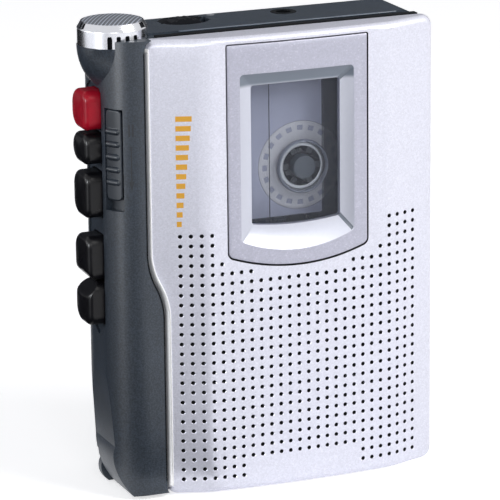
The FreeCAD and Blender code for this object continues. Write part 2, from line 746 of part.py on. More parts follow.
def rear_cabinet():
    """Rear half of the case with the battery bay, screw columns and top scoop."""
    skin = cut("cabinet_skin", shell, cavity)
    rear_space = block("rear_space", ("-60", "60"), ("seam", "30"), ("-1", "130"))
    skin = common("cabinet_rear_skin", skin, rear_space)
    walls = [
        block("bay_side", ("bay_left - bay_wall", "bay_left"), ("deck_back + 0.1", "case_rear - 1"),
              ("1", "bay_top + bay_wall")),
        block("bay_head", ("bay_left - bay_wall", "case_right - 1"), ("deck_back + 0.1", "case_rear - 1"),
              ("bay_top", "bay_top + bay_wall")),
        block("bay_foot", ("bay_left - bay_wall", "case_right - 1"), ("deck_back + 0.1", "case_rear - 1"),
              ("1", "bay_bottom")),
    ]
    columns = [rod(f"column_{index}", "Y", spot, ("seam", "case_rear - 1"), "column_radius")
               for index, spot in enumerate(CASE_SCREWS)]
    inner = common("cabinet_inner", shell, fuse("cabinet_inner_parts", *walls, *columns))
    body = fuse("cabinet_body", skin, inner)
    tools = [half_ellipsoid("bulge_clearance", "0.08"),
             rod("mic_clearance", "Z", ("mic_x", "mic_y"), ("mic_seat - 0.01", "130"), "mic_radius + 0.23")]
    tools += key_windows("cabinet_windows")
    for index, spot in enumerate(CASE_SCREWS):
        tools.append(rod(f"column_bore_{index}", "Y", spot, ("column_floor", "30"), "column_bore"))
        tools.append(rod(f"column_hole_{index}", "Y", spot, ("seam - 1", "1"), "screw_radius + 0.15"))
    tools.append(block("door_opening", ("bay_left", "60"), ("door_front - door_gap", "30"),
                       ("door_bottom - door_gap", "door_top + door_gap")))
    scoop = doc.addObject("Part::Ellipsoid", "wheel_scoop")
    bind(scoop, Radius1="scoop_high", Radius2="scoop_half", Radius3="scoop_half_deep")
    scoop.Angle1 = -90
    scoop.Angle2 = 90
    place(scoop, "wheel_x", "wheel_y", "case_top + scoop_lift")
    tools.append(scoop)
    tools.append(block("wheel_slot", ("wheel_x - wheel_radius", "wheel_x + wheel_radius"),
                       ("wheel_y - wheel_thick / 2 - wheel_slot_gap",
                        "wheel_y + wheel_thick / 2 + wheel_slot_gap"),
                       ("case_top - 6", "130")))
    for name, height in (("mic", "mic_socket_z"), ("power", "power_z")):
        tools.append(rod(f"{name}_socket_hole", "X", ("socket_y", height), ("case_right - 4", "50"),
                         "socket_nose + 0.1"))
    tools.append(rod("ear_socket_hole", "Z", ("ear_x", "ear_y"), ("case_top - 4", "130"), "socket_nose + 0.1"))
    tools.append(rod("lamp_hole", "Z", ("lamp_x", "lamp_y"), ("case_top - 4", "130"), "lamp_radius"))
    tools.append(block("lug_recess", ("case_left - 3", "lug_floor_x"), ("lug_y - 0.5", "lug_y + 6"),
                       ("lug_bottom + 1.0", "lug_top + 0.9")))
    tools.append(nodes["strap_lug"])
    keep("rear_cabinet", cut("rear_cabinet", body, *tools))


def strap_lug():
    """Curved bar at the lower rear corner that a hand strap loops round."""
    keep("strap_lug", outline("strap_lug", "XZ", ("lug_y", "lug_y + lug_thick"), [
        at("lug_left + 0.4", "lug_bottom"), at("lug_root_x", "lug_bottom"), at("lug_root_x", "lug_bottom + 1.4"),
        at("lug_left + 0.7", "lug_bottom + 1.8"), at("lug_left + 0.6", "lug_top - 1.6"),
        at("lug_root_x", "lug_top - 0.2"), at("lug_root_x", "lug_top"), at("lug_left + 0.6", "lug_top"),
        at("lug_left", "lug_top - 1.0", arc="4.6"),
    ]))


def battery_door():
    """Wrap-round cover of the battery bay, which slides off past the hinge side."""
    space = block("door_space", ("bay_left + door_gap", "60"), ("door_front", "30"), ("door_bottom", "door_top"))
    door = common("door_form", cut("door_skin", shell, cavity), space)
    grips = [block(f"door_grip_{index}", ("bay_left + 4", "bay_left + 12"), ("case_rear - 0.5", "case_rear + 1"),
                   (f"door_grip_low + {index} * door_grip_pitch", f"door_grip_low + {index} * door_grip_pitch + 1"))
             for index in range(5)]
    keep("battery_door", cut("battery_door", door, *grips))


def case_screws():
    """Screws that close the case from the rear, and those that hold the deck plate."""
    screws = []
    for index, spot in enumerate(CASE_SCREWS):
        shank = rod(f"screw_shank_{index}", "Y", spot, ("screw_tip", "0.1"), "screw_radius")
        cap = rod(f"screw_cap_{index}", "Y", spot, ("0.05", "1.5"), "screw_cap")
        cross = [block(f"screw_cross_{index}_a", (f"{spot[0]} - 1.1", f"{spot[0]} + 1.1"), ("0.8", "2"),
                       (f"{spot[1]} - 0.25", f"{spot[1]} + 0.25")),
                 block(f"screw_cross_{index}_b", (f"{spot[0]} - 0.25", f"{spot[0]} + 0.25"), ("0.8", "2"),
                       (f"{spot[1]} - 1.1", f"{spot[1]} + 1.1"))]
        screws.append(cut(f"case_screw_{index}", fuse(f"screw_{index}", shank, cap), *cross))
    for index, spot in enumerate(DECK_POSTS):
        shank = rod(f"deck_shank_{index}", "Y", spot, ("deck_front - 4.5", "deck_back + 0.1"), "deck_screw")
        cap = rod(f"deck_cap_{index}", "Y", spot, ("deck_back", "deck_back + 1"), "1.7")
        screws.append(fuse(f"deck_screw_{index}", shank, cap))
    keep("case_screws", group("case_screws", *screws))


def lid_cover():
    """Curved perforated cover with the hinge barrel along its right edge."""
    barrel = rod("lid_barrel", "Z", ("hinge_x", "hinge_y"), ("barrel_bottom", "barrel_top"), "barrel_radius")
    web = block("barrel_web", ("lid_right - lid_wall", "lid_right"), ("lid_back - 1", "hinge_y"),
                ("barrel_bottom", "barrel_top"))
    joiner = block("barrel_joiner", ("hinge_x - barrel_radius", "lid_right"), ("lid_back - 0.9", "hinge_y"),
                   ("barrel_bottom", "barrel_top"))
    bosses = [rod(f"lid_boss_{index}", "Y", spot, ("lid_ridge + lid_wall / 2", "plate_front"), "1.9")
              for index, spot in enumerate(LID_SCREWS)]
    inner = common("lid_inner", lid_form, fuse("lid_inner_parts", *bosses))
    body = fuse("lid_body", cut("lid_skin", lid_form, lid_hollow), inner, barrel, web, joiner)
    tools = [outline("insert_opening", "XZ", ("-22", "plate_front"), insert_edge("trim_gap"))]
    for index, span in enumerate((("barrel_bottom - 1", "barrel_bottom + hinge_pin_depth"),
                                  ("barrel_top - hinge_pin_depth", "barrel_top + 1"))):
        tools.append(rod(f"barrel_bore_{index}", "Z", ("hinge_x", "hinge_y"), span,
                         "hinge_pin_radius + hinge_clear"))
    for index, spot in enumerate(LID_SCREWS):
        tools.append(rod(f"lid_boss_hole_{index}", "Y", spot, ("plate_front - 1.5", "plate_front + 1"), "lid_screw"))
    tools.append(speaker_holes())
    keep("lid_cover", cut("lid_cover", body, *tools))


def speaker_holes():
    """Cluster of round pins on the hole grid, kept inside the speaker's circle."""
    pitch, radius = size("hole_pitch"), size("hole_radius")
    reach = size("hole_field")
    start = Vector(size("grid_x"), size("lid_ridge") - 1, size("grid_z"))
    pins = []
    for column in range(-13, 13):
        for row in range(-13, 13):
            centre = start + Vector((column + 0.5) * pitch, 0, (row + 0.5) * pitch)
            if math.dist((centre.x, centre.z), (size("speaker_x"), size("speaker_z"))) < reach:
                pins.append(Part.makeCylinder(radius, 4, centre, Vector(0, 1, 0)))
    item = doc.addObject("Part::Feature", "speaker_holes")
    item.Shape = Part.makeCompound(pins)
    return item


LID_SCREWS = [(x, z) for x in ("lid_screw_left", "lid_screw_right") for z in ("lid_screw_low", "lid_screw_high")]


def slanted(name, span, near, far):
    """Prism along Y whose outline changes from near, at the front, to far."""
    body = doc.addObject("PartDesign::Body", name)
    sections = []
    for index, (offset, corners) in enumerate(((span[0], near), (span[1], far))):
        sections.append(section_sketch(body, f"{name}_section_{index}", "XZ", f"-({offset})", corners))
    loft = body.newObject("PartDesign::AdditiveLoft", name + "_loft")
    loft.Profile = sections[0]
    loft.Sections = [sections[1]]
    loft.Ruled = True
    return body


def pane_edge(grow):
    return [
        at(f"pane_left - ({grow})", f"pane_foot - ({grow})", arc=f"pane_curve + ({grow})"),
        at(f"pane_right + ({grow})", f"pane_foot - ({grow})"),
        at(f"pane_right + ({grow})", f"pane_head + ({grow})"),
        at(f"pane_left - ({grow})", f"pane_head + ({grow})"),
    ]


def bezel_edge():
    return [
        at("bezel_left", "bezel_foot", arc="bezel_curve"), at("bezel_right", "bezel_foot"),
        at("bezel_right", "bezel_top"), at("bezel_left", "bezel_top"),
    ]


def window_frame():
    """Insert set into the lid, with a funnel that narrows to the pane."""
    plate = common("insert_form", lid_form, outline("insert_prism", "XZ", ("-22", "insert_back"), insert_edge("0")))
    funnel = slanted("bezel_funnel", ("lid_ridge - 0.1", "pane_front"), bezel_edge(), pane_edge("0"))
    seat = outline("pane_seat", "XZ", ("pane_front", "insert_back + 1"), pane_edge("1.2"))
    keep("window_frame", cut("window_frame", plate, funnel, seat))


def window_pane():
    keep("window_pane", outline("window_pane", "XZ", ("pane_front", "pane_front + pane_thick"), pane_edge("1.1")))


def lid_inner_plate():
    """Plate inside the lid that holds the speaker and presses on the cassette."""
    plate = outline("lid_plate_form", "XZ", ("plate_front", "plate_back"), [
        at("plate_low_left", "plate_low"), at("plate_right", "plate_low"), at("plate_right", "plate_high"),
        at("plate_left", "plate_high"), at("plate_left", "plate_step_high"), at("plate_low_left", "plate_step_low"),
    ])
    tools = [outline("plate_window", "XZ", ("plate_front - 1", "plate_back + 1"), pane_edge("2.5")),
             rod("magnet_hole", "Y", ("speaker_x", "speaker_z"), ("plate_front - 1", "plate_back + 1"),
                 "magnet_radius + 0.2")]
    for index, spot in enumerate(LID_SCREWS):
        tools.append(rod(f"plate_hole_{index}", "Y", spot, ("plate_front - 1", "plate_back + 1"), "lid_screw + 0.1"))
    keep("lid_inner_plate", cut("lid_inner_plate", plate, *tools))


def lid_fittings():
    """Screws, hinge pins, catch and cassette springs of the lid."""
    screws = []
    for index, spot in enumerate(LID_SCREWS):
        shank = rod(f"lid_shank_{index}", "Y", spot, ("plate_front - 1.4", "plate_back + 0.05"), "lid_screw")
        cap = rod(f"lid_cap_{index}", "Y", spot, ("plate_back", "plate_back + 0.6"), "1.5")
        screws.append(fuse(f"lid_screw_{index}", shank, cap))
    keep("lid_screws", group("lid_screws", *screws))
    pins = [rod(f"hinge_pin_{index}", "Z", ("hinge_x", "hinge_y"), span, "hinge_pin_radius")
            for index, span in enumerate((("barrel_bottom - hinge_room - hinge_seat",
                                           "barrel_bottom + hinge_pin_depth - 0.3"),
                                          ("barrel_top - hinge_pin_depth + 0.3",
                                           "barrel_top + hinge_room + hinge_seat")))]
    keep("hinge_pins", group("hinge_pins", *pins))
    stem = block("latch_stem", ("latch_x - 0.6", "latch_x + 0.6"), ("plate_back - 0.05", "lid_back + 2.4"),
                 ("latch_low", "latch_high"))
    foot = block("latch_foot", ("latch_x - 0.6", "latch_x + 5"), ("plate_back", "plate_back + 0.3"),
                 ("latch_low", "latch_high"))
    hook = block("latch_hook", ("latch_x - 0.9", "latch_x + 0.6"), ("lid_back + 1.6", "lid_back + 2.4"),
                 ("latch_low", "latch_high"))
    keep("lid_catch", fuse("lid_catch", stem, foot, hook))
    springs = []
    face = "plate_back + spring_thick"
    for height in ("spring_low", "spring_high"):
        springs.append(outline(f"cassette_{height}", "XY", (f"{height} - 2", f"{height} + 2"), [
            at("spring_x - 12", "plate_back"), at("spring_x - 8", "plate_back"),
            at("spring_x", "plate_back + spring_bow"), at("spring_x + 8", "plate_back"),
            at("spring_x + 12", "plate_back"), at("spring_x + 12", face), at("spring_x + 8.1", face),
            at("spring_x", f"{face} + spring_bow"), at("spring_x - 8.1", face), at("spring_x - 12", face),
        ]))
    keep("cassette_springs", group("cassette_springs", *springs))


def speaker():
    """Flat round loudspeaker behind the perforated part of the lid."""
    spot = ("speaker_x", "speaker_z")
    ring = rod("basket_ring", "Y", spot, ("speaker_front", "speaker_front + 1.4"), "speaker_radius")
    bowl = taper("basket_bowl", "Y", spot, ("speaker_front + 1.4", "speaker_front + 3"), "speaker_radius - 2",
                 "magnet_radius + 1")
    basket = fuse("basket_solid", ring, bowl)
    inside = [rod("basket_mouth", "Y", spot, ("speaker_front - 1", "speaker_front + 1.0"), "speaker_radius - 1.6"),
              taper("basket_hollow", "Y", spot, ("speaker_front + 1.0", "speaker_front + 2.6"),
                    "speaker_radius - 2.8", "magnet_radius")]
    keep("speaker_basket", cut("speaker_basket", basket, *inside))
    keep("speaker_magnet", rod("speaker_magnet", "Y", spot, ("speaker_front + 3", "plate_back"), "magnet_radius"))
    rim = taper("cone_outside", "Y", spot, ("speaker_front + 0.6", "speaker_front + 2.3"), "speaker_radius - 1.7",
                "4.6")
    core = taper("cone_inside", "Y", spot, ("speaker_front + 0.3", "speaker_front + 2.0"), "speaker_radius - 1.7",
                 "4.6")
    dome = doc.addObject("Part::Ellipsoid", "cone_dome")
    bind(dome, Radius1="4.7", Radius2="4.7", Radius3="1.5")
    dome.Angle1 = -90
    dome.Angle2 = 90
    place(dome, "speaker_x", "speaker_front + 2.1", "speaker_z")
    dome_half = common("dome_half", dome, block("dome_space", ("speaker_x - 6", "speaker_x + 6"),
                                                ("speaker_front", "speaker_front + 2.25"),
                                                ("speaker_z - 6", "speaker_z + 6")))
    keep("speaker_cone", fuse("speaker_cone", cut("cone_shell", rim, core), dome_half))


def microphone():
    """Round microphone housing in its cup at the top corner."""
    spot = ("mic_x", "mic_y")
    drum = rod("mic_drum", "Z", spot, ("mic_seat", "mic_shoulder"), "mic_radius")
    crown = taper("mic_crown", "Z", spot, ("mic_shoulder", "mic_top"), "mic_radius", "mic_rim + 0.15")
    body = fuse("mic_body", drum, crown)
    tools = [rod("mic_hollow", "Z", spot, ("mic_seat - 1", "mic_shoulder - 0.4"), "mic_inner"),
             rod("mic_mouth", "Z", spot, ("mic_seat", "mic_top + 1"), "mic_rim - 0.25")]
    for index, angle in enumerate((-114, -99.5, -85, -70.5)):
        slit = block(f"mic_slit_{index}", ("mic_inner - 1", "mic_radius + 1"), ("-0.45", "0.45"),
                     ("mic_seat - 1", "mic_seat + 2.4"))
        tools.append(turned(slit, angle))
    for index, angle in enumerate((-178, -168, -48, -38, 88, 98)):
        notch = block(f"mic_notch_{index}", ("mic_rim - 0.05", "mic_radius + 1"), ("-0.35", "0.35"),
                      ("mic_shoulder - 0.2", "mic_top + 1"))
        tools.append(turned(notch, angle))
    keep("mic_cap", cut("mic_cap", body, *tools))
    keep("mic_grille", rod("mic_grille", "Z", spot, ("mic_top - 0.7", "mic_top - 0.25"), "mic_rim - 0.3"))
    bushing = rod("bushing_solid", "Z", spot, ("mic_seat - 4.4", "mic_seat + 1.2"), "mic_inner - 0.6")
    bore = rod("bushing_bore", "Z", spot, ("mic_seat - 3.4", "mic_seat + 2"), "capsule_radius")
    cup = cut("capsule_cup", bushing, bore)
    keep("mic_capsule", fuse("mic_capsule", cup, rod("capsule_can", "Z", spot, ("mic_seat - 3.4", "mic_seat + 3.2"),
                                                     "capsule_radius")))


def turned(item, angle):
    """Turn a tool made about the origin by an angle round the microphone's axis."""
    item.Placement = FreeCAD.Placement(Vector(), FreeCAD.Rotation(Vector(0, 0, 1), angle))
    values = {path.lstrip("."): text for path, text in item.ExpressionEngine}
    reach, side = values["Placement.Base.x"], values["Placement.Base.y"]
    item.setExpression("Placement.Base.x", f"dims.mic_x + ({reach}) * cos({angle}) - ({side}) * sin({angle})")
    item.setExpression("Placement.Base.y", f"dims.mic_y + ({reach}) * sin({angle}) + ({side}) * cos({angle})")
    return item


def keys():
    """Five push keys, each with its stem and sheet lever."""
    for name, (low, high, bevel_low, bevel_high, rear_round) in KEYS.items():
        front = outline(name + "_front", "XZ", ("-12", "6"), [
            at("key_out", f"{low} + {bevel_low}"), at(f"key_out + {bevel_low}", low), at("key_in", low),
            at("key_in", high), at(f"key_out + {bevel_high}", high), at("key_out", f"{high} - {bevel_high}"),
        ])
        plan = outline(name + "_plan", "XY", (f"{low} - 1", f"{high} + 1"), [
            at("key_out", "key_front + 2.6", round="0.9"), at("key_out + 1.5", "key_front", round="0.9"),
            at("key_in", "key_front"), at("key_in", "key_rear"), at("key_out + 0.8", "key_rear", round="0.9"),
            at("key_out", "key_rear - 1.2", round="0.9"),
        ])
        cap = common(name + "_cap", front, plan, key_section(name + "_section", ("key_out - 1", "key_in"), name, "0"))
        middle = f"(({low} + {high}) / 2)"
        stem = block(name + "_stem", ("key_in - 0.3", "key_in + 2.5"), ("1.75", "2.4"),
                     (f"{middle} - 1.6", f"{middle} + 1.6"))
        foot = block(name + "_foot", ("key_in + 1.2", "key_in + 2.5"), ("1.75", "4"),
                     (f"{middle} - 1.6", f"{middle} + 1.6"))
        lever = block(name + "_lever", ("key_in + 1.2", "lever_tail"), ("3", "4"),
                      (f"{middle} - 1.6", f"{middle} + 1.6"))
        slot = block(name + "_lever_slot", ("-31.5", "-26"), ("2", "5"), (f"{middle} - 0.6", f"{middle} + 0.6"))
        keep(name, cut(name, fuse(name + "_solid", cap, stem, foot, lever), slot))


def key_bracket():
    """Folded sheet bracket that guides the levers and backs the key springs."""
    web = block("bracket_web", ("-32", "bracket_back + 1"), ("4.15", "4.95"), ("44.5", "97.3"))
    flange = block("bracket_flange", ("bracket_back", "bracket_back + 1"), ("deck_back", "4.95"), ("44.5", "97.3"))
    posts = [block(f"bracket_post_{index}", ("-30", "-27"), ("deck_back", "4.2"), (f"{height} - 0.6", f"{height} + 0.6"))
             for index, height in enumerate(("45.2", "54", "67.5", "81"))]
    keep("key_bracket", fuse("key_bracket", web, flange, *posts))
    springs = []
    for name, (low, high, *rest) in KEYS.items():
        middle = f"(({low} + {high}) / 2)"
        tube = rod(f"{name}_spring_outside", "X", ("3.3", middle), ("lever_tail", "bracket_back"), "0.75")
        hole = rod(f"{name}_spring_inside", "X", ("3.3", middle), ("lever_tail - 1", "bracket_back + 1"), "0.5")
        springs.append(cut(f"{name}_spring", tube, hole))
    keep("key_springs", group("key_springs", *springs))


def deck_plate():
    """Steel plate that carries the reels, the capstan and the motor."""
    plate = outline("deck_form", "XZ", ("deck_front", "deck_back"), [
        at("deck_left", "deck_low + 4"), at("-24", "deck_low"), at("deck_right", "deck_low"),
        at("deck_right", "deck_high"), at("-20", "deck_high"), at("deck_left", "99"),
    ])
    tools = []
    for index, spot in enumerate(CASE_SCREWS):
        tools.append(rod(f"deck_case_hole_{index}", "Y", spot, ("0", "4"), "column_radius + 0.3"))
    for index, spot in enumerate(DECK_POSTS):
        tools.append(rod(f"deck_screw_hole_{index}", "Y", spot, ("0", "4"), "deck_screw + 0.1"))
    tools.append(rod("idler_hole", "Y", ("idler_x", "idler_z"), ("0", "4"), "idler_stem + run_clear"))
    tools.append(block("deck_light_window", ("18", "34"), ("0", "4"), ("64", "76")))
    tools.append(block("deck_socket_notch", ("ear_x - ear_half - 0.4", "ear_x + ear_half + 0.4"), ("0", "4"),
                       ("case_top - ear_depth - 2.1", "deck_high + 1")))
    plate = cut("deck_drilled", plate, *tools)
    axles = [rod(f"{name}_axle", "Y", ("hub_x", height), ("spindle_tip + 2", "deck_front + 0.1"), "axle_radius")
             for name, height in HUBS.items()]
    pivot = rod("pinch_pivot_post", "Y", ("pinch_pivot_x", "pinch_pivot_z"), ("-9.8", "deck_front + 0.1"), "1.2")
    bearing = rod("capstan_bearing", "Y", ("capstan_x", "capstan_z"), ("deck_front", "7.6"), "bearing_radius")
    bearing_bore = rod("bearing_bore", "Y", ("capstan_x", "capstan_z"), ("0", "9"), "capstan_radius + run_clear")
    keep("deck_plate", cut("deck_plate", fuse("deck_fitted", plate, *axles, pivot, bearing), bearing_bore))


def heads():
    """Sliding carriage with the record and erase heads."""
    plate = outline("carriage_plate", "XZ", ("0.6", "1.6"), [
        at("-34.4", "36"), at("-28", "36"), at("-26.6", "40"), at("-26.6", "80"), at("-29", "84"), at("-34.4", "84"),
    ])
    slots = [block(f"carriage_slot_{index}", ("-32.6", "-28"), ("0", "2"), (f"{height} - 0.8", f"{height} + 0.8"))
             for index, height in enumerate(("41", "80"))]
    keep("head_carriage", cut("head_carriage", plate, *slots))
    for name, middle, half, tail in (("record_play_head", "cassette_z", "6", "head_tail"),
                                     ("erase_head", "(cassette_z + 15.6)", "3.4", "head_tail + 2.2")):
        keep(name, outline(name, "XY", (f"{middle} - {half}", f"{middle} + {half}"), [
            at(tail, "0.6"), at(tail, "-9.2"), at("head_face - 0.9", "-9.2"), at("head_face", "-8.2"),
            at("head_face", "-0.8"), at("head_face - 0.9", "0.2"), at("head_face - 2.4", "0.6"),
        ]))


def pinch_roller():
    """Rubber roller on its swinging arm."""
    spot = ("pinch_rest_x", "capstan_z")
    tyre = rod("pinch_tyre", "Y", spot, ("-8.2", "-1.0"), "pinch_radius")
    bore = rod("pinch_bore", "Y", spot, ("-9", "0"), "1.03")
    keep("pinch_roller", cut("pinch_roller", tyre, bore))
    pin = rod("pinch_pin", "Y", spot, ("-9.1", "0.7"), "1.0")
    collar = rod("arm_boss", "Y", ("pinch_pivot_x", "pinch_pivot_z"), ("-9.1", "1.5"), "2.3")
    plates = []
    for index, span in enumerate((("0.5", "1.5"), ("-9.9", "-9.1"))):
        web = outline(f"arm_plate_{index}", "XZ", span, [
            at("pinch_pivot_x - 2.2", "pinch_pivot_z - 1.5"), at("pinch_pivot_x + 2.2", "pinch_pivot_z - 1.5"),
            at("pinch_rest_x + 2", "capstan_z + 1.6"), at("pinch_rest_x - 2", "capstan_z + 1.6"),
        ])
        plates.append(web)
    hole = rod("arm_bore", "Y", ("pinch_pivot_x", "pinch_pivot_z"), ("-12", "3"), "1.25")
    keep("pinch_arm", cut("pinch_arm", fuse("arm_solid", pin, collar, *plates), hole))


def drive():
    """Capstan, flywheel, idler, motor and belt."""
    capstan = ("capstan_x", "capstan_z")
    keep("capstan_shaft", rod("capstan_shaft", "Y", capstan, ("-9.4", "flywheel_back + 0.5"), "capstan_radius"))
    disc = rod("flywheel_disc", "Y", capstan, ("flywheel_front", "flywheel_back"), "flywheel_radius")
    hub = rod("drive_wheel_disc", "Y", capstan, ("7.8", "flywheel_front + 0.1"), "drive_wheel")
    grooves = cut("belt_groove", rod("groove_outside", "Y", capstan, ("belt_low - 0.1", "belt_high + 0.1"),
                                     "flywheel_radius + 1"),
                  rod("groove_inside", "Y", capstan, ("belt_low - 1", "belt_high + 1"), "groove_radius"))
    recess = cut("flywheel_recess", rod("recess_outside", "Y", capstan, ("flywheel_back - 1.2", "flywheel_back + 1"),
                                        "11.5"),
                 rod("recess_inside", "Y", capstan, ("flywheel_front", "flywheel_back + 1"), "3.2"))
    bore = rod("flywheel_bore", "Y", capstan, ("5", "20"), "capstan_radius")
    keep("flywheel", cut("flywheel", fuse("flywheel_solid", disc, hub), grooves, recess, bore))
    bridge = outline("bridge_plate", "XZ", ("flywheel_back + 0.7", "flywheel_back + 1.5"), [
        at("-26", "9"), at("-11.5", "9"), at("-17", "31"), at("-23.5", "31"),
    ])
    legs = [rod(f"bridge_leg_{index}", "Y", (x, "10.6"), ("deck_back", "flywheel_back + 1"), "1.3")
            for index, x in enumerate(("-24", "-13.5"))]
    keep("flywheel_bridge", fuse("flywheel_bridge", bridge, *legs))
    spot = ("idler_x", "idler_z")
    wheel = rod("idler_back_disc", "Y", spot, ("7.8", "8.9"), "idler_radius")
    stem = rod("idler_stem_rod", "Y", spot, ("0.2", "8"), "idler_stem")
    small = rod("idler_front_disc", "Y", spot, ("0.2", "1.3"), "idler_front")
    keep("idler_wheel", fuse("idler_wheel", wheel, stem, small))
    motor = ("motor_x", "motor_z")
    can = rod("motor_can", "Y", motor, ("motor_front", "motor_back"), "motor_radius")
    collar = rod("motor_collar", "Y", motor, ("motor_back - 0.1", "motor_back + 0.5"), "3")
    socket = rod("motor_socket", "Y", motor, ("motor_back - 3", "motor_back + 1"), "0.83")
    keep("motor", cut("motor", fuse("motor_solid", can, collar), socket))
    shaft = rod("motor_shaft", "Y", motor, ("motor_back - 2.9", "flywheel_back"), "0.8")
    wheel = rod("pulley_wheel", "Y", motor, ("belt_low - 0.3", "belt_high + 0.4"), "pulley_radius + 0.6")
    groove = cut("pulley_groove", rod("pulley_outside", "Y", motor, ("belt_low - 0.1", "belt_high + 0.1"),
                                      "pulley_radius + 2"),
                 rod("pulley_inside", "Y", motor, ("belt_low - 1", "belt_high + 1"), "pulley_radius - 0.1"))
    keep("motor_pulley", cut("motor_pulley", fuse("pulley_solid", shaft, wheel), groove))
    keep("drive_belt", belt_loop())


def belt_loop():
    """Square belt round the flywheel's groove and the motor pulley."""
    ends = [(size("capstan_x"), size("capstan_z"), size("groove_radius") + 0.05),
            (size("motor_x"), size("motor_z"), size("pulley_radius") + 0.05)]
    low, high = size("belt_low"), size("belt_high")
    thick = 0.8

    def loop(grow):
        (first_x, first_z, first_r), (last_x, last_z, last_r) = ends
        apart = math.hypot(last_x - first_x, last_z - first_z)
        along = math.atan2(last_z - first_z, last_x - first_x)
        lean = math.acos((first_r - last_r) / apart)
        spots = []
        for x, z, radius in ((first_x, first_z, first_r + grow), (last_x, last_z, last_r + grow)):
            for side in (1, -1):
                angle = along + side * lean
                spots.append(Vector(x + radius * math.cos(angle), low, z + radius * math.sin(angle)))
        back = Vector(first_x - (first_r + grow) * math.cos(along), low,
                      first_z - (first_r + grow) * math.sin(along))
        tip = Vector(last_x + (last_r + grow) * math.cos(along), low, last_z + (last_r + grow) * math.sin(along))
        edges = [Part.LineSegment(spots[0], spots[2]).toShape(), Part.Arc(spots[2], tip, spots[3]).toShape(),
                 Part.LineSegment(spots[3], spots[1]).toShape(), Part.Arc(spots[1], back, spots[0]).toShape()]
        return Part.Face(Part.Wire(edges)).extrude(Vector(0, high - low, 0))

    item = doc.addObject("Part::Feature", "drive_belt")
    item.Shape = loop(thick).cut(loop(0))
    return item


def reels():
    """Spindles of the deck with the cassette hubs and the wound tape on them."""
    for name, height in HUBS.items():
        spot = ("hub_x", height)
        table = rod(f"{name}_table", "Y", spot, ("0.15", "1.3"), "table_radius")
        sleeve = rod(f"{name}_sleeve", "Y", spot, ("spindle_tip", "1.2"), "spindle_radius")
        splines = [spline(f"{name}_spline_{index}", height, "spindle_radius - 0.4", "spline_reach", "0.55",
                          ("spindle_tip + 1", "0.3"), 90 + 120 * index) for index in range(3)]
        bore = rod(f"{name}_spindle_bore", "Y", spot, ("spindle_tip + 1.5", "3"), "axle_radius + run_clear")
        keep(f"{name}_spindle", cut(f"{name}_spindle", fuse(f"{name}_solid", table, sleeve, *splines), bore))
        ring = rod(f"{name}_ring", "Y", spot, ("cassette_y - 2.9", "cassette_y + 2.9"), "hub_ring")
        neck = rod(f"{name}_neck", "Y", spot, ("cassette_y - 4.1", "cassette_y + 4.1"), "hub_hole - 0.45")
        hole = rod(f"{name}_hub_bore", "Y", spot, ("-12", "5"), "hub_bore")
        teeth = [spline(f"{name}_tooth_{index}", height, "hub_bore - 1.5", "hub_bore + 0.4", "0.75",
                        ("cassette_y - 3.9", "cassette_y + 3.9"), 60 * index) for index in range(6)]
        hub = cut(f"{name}_ring_bored", fuse(f"{name}_ring_solid", ring, neck), hole)
        keep(f"{name}_hub", fuse(f"{name}_hub", hub, *teeth))
    spot = ("hub_x", HUBS["take_up"])
    outside = rod("pack_outside", "Y", spot, ("cassette_y - pack_half", "cassette_y + pack_half"), "pack_radius")
    inside = rod("pack_inside", "Y", spot, ("-12", "5"), "hub_ring")
    keep("tape_pack", cut("tape_pack", outside, inside))


def spline(name, height, inner, outer, half, span, angle):
    """Bar that points outwards from a reel's axis, at an angle in the X-Z plane."""
    item = doc.addObject("Part::Box", name)
    item.Placement = FreeCAD.Placement(Vector(), FreeCAD.Rotation(Vector(0, 1, 0), -angle))
    bind(item, Length=f"({outer}) - ({inner})", Width=f"({span[1]}) - ({span[0]})", Height=f"2 * ({half})")
    place(item, f"hub_x + ({inner}) * cos({angle}) + ({half}) * sin({angle})", span[0],
          f"{height} + ({inner}) * sin({angle}) - ({half}) * cos({angle})")
    return item


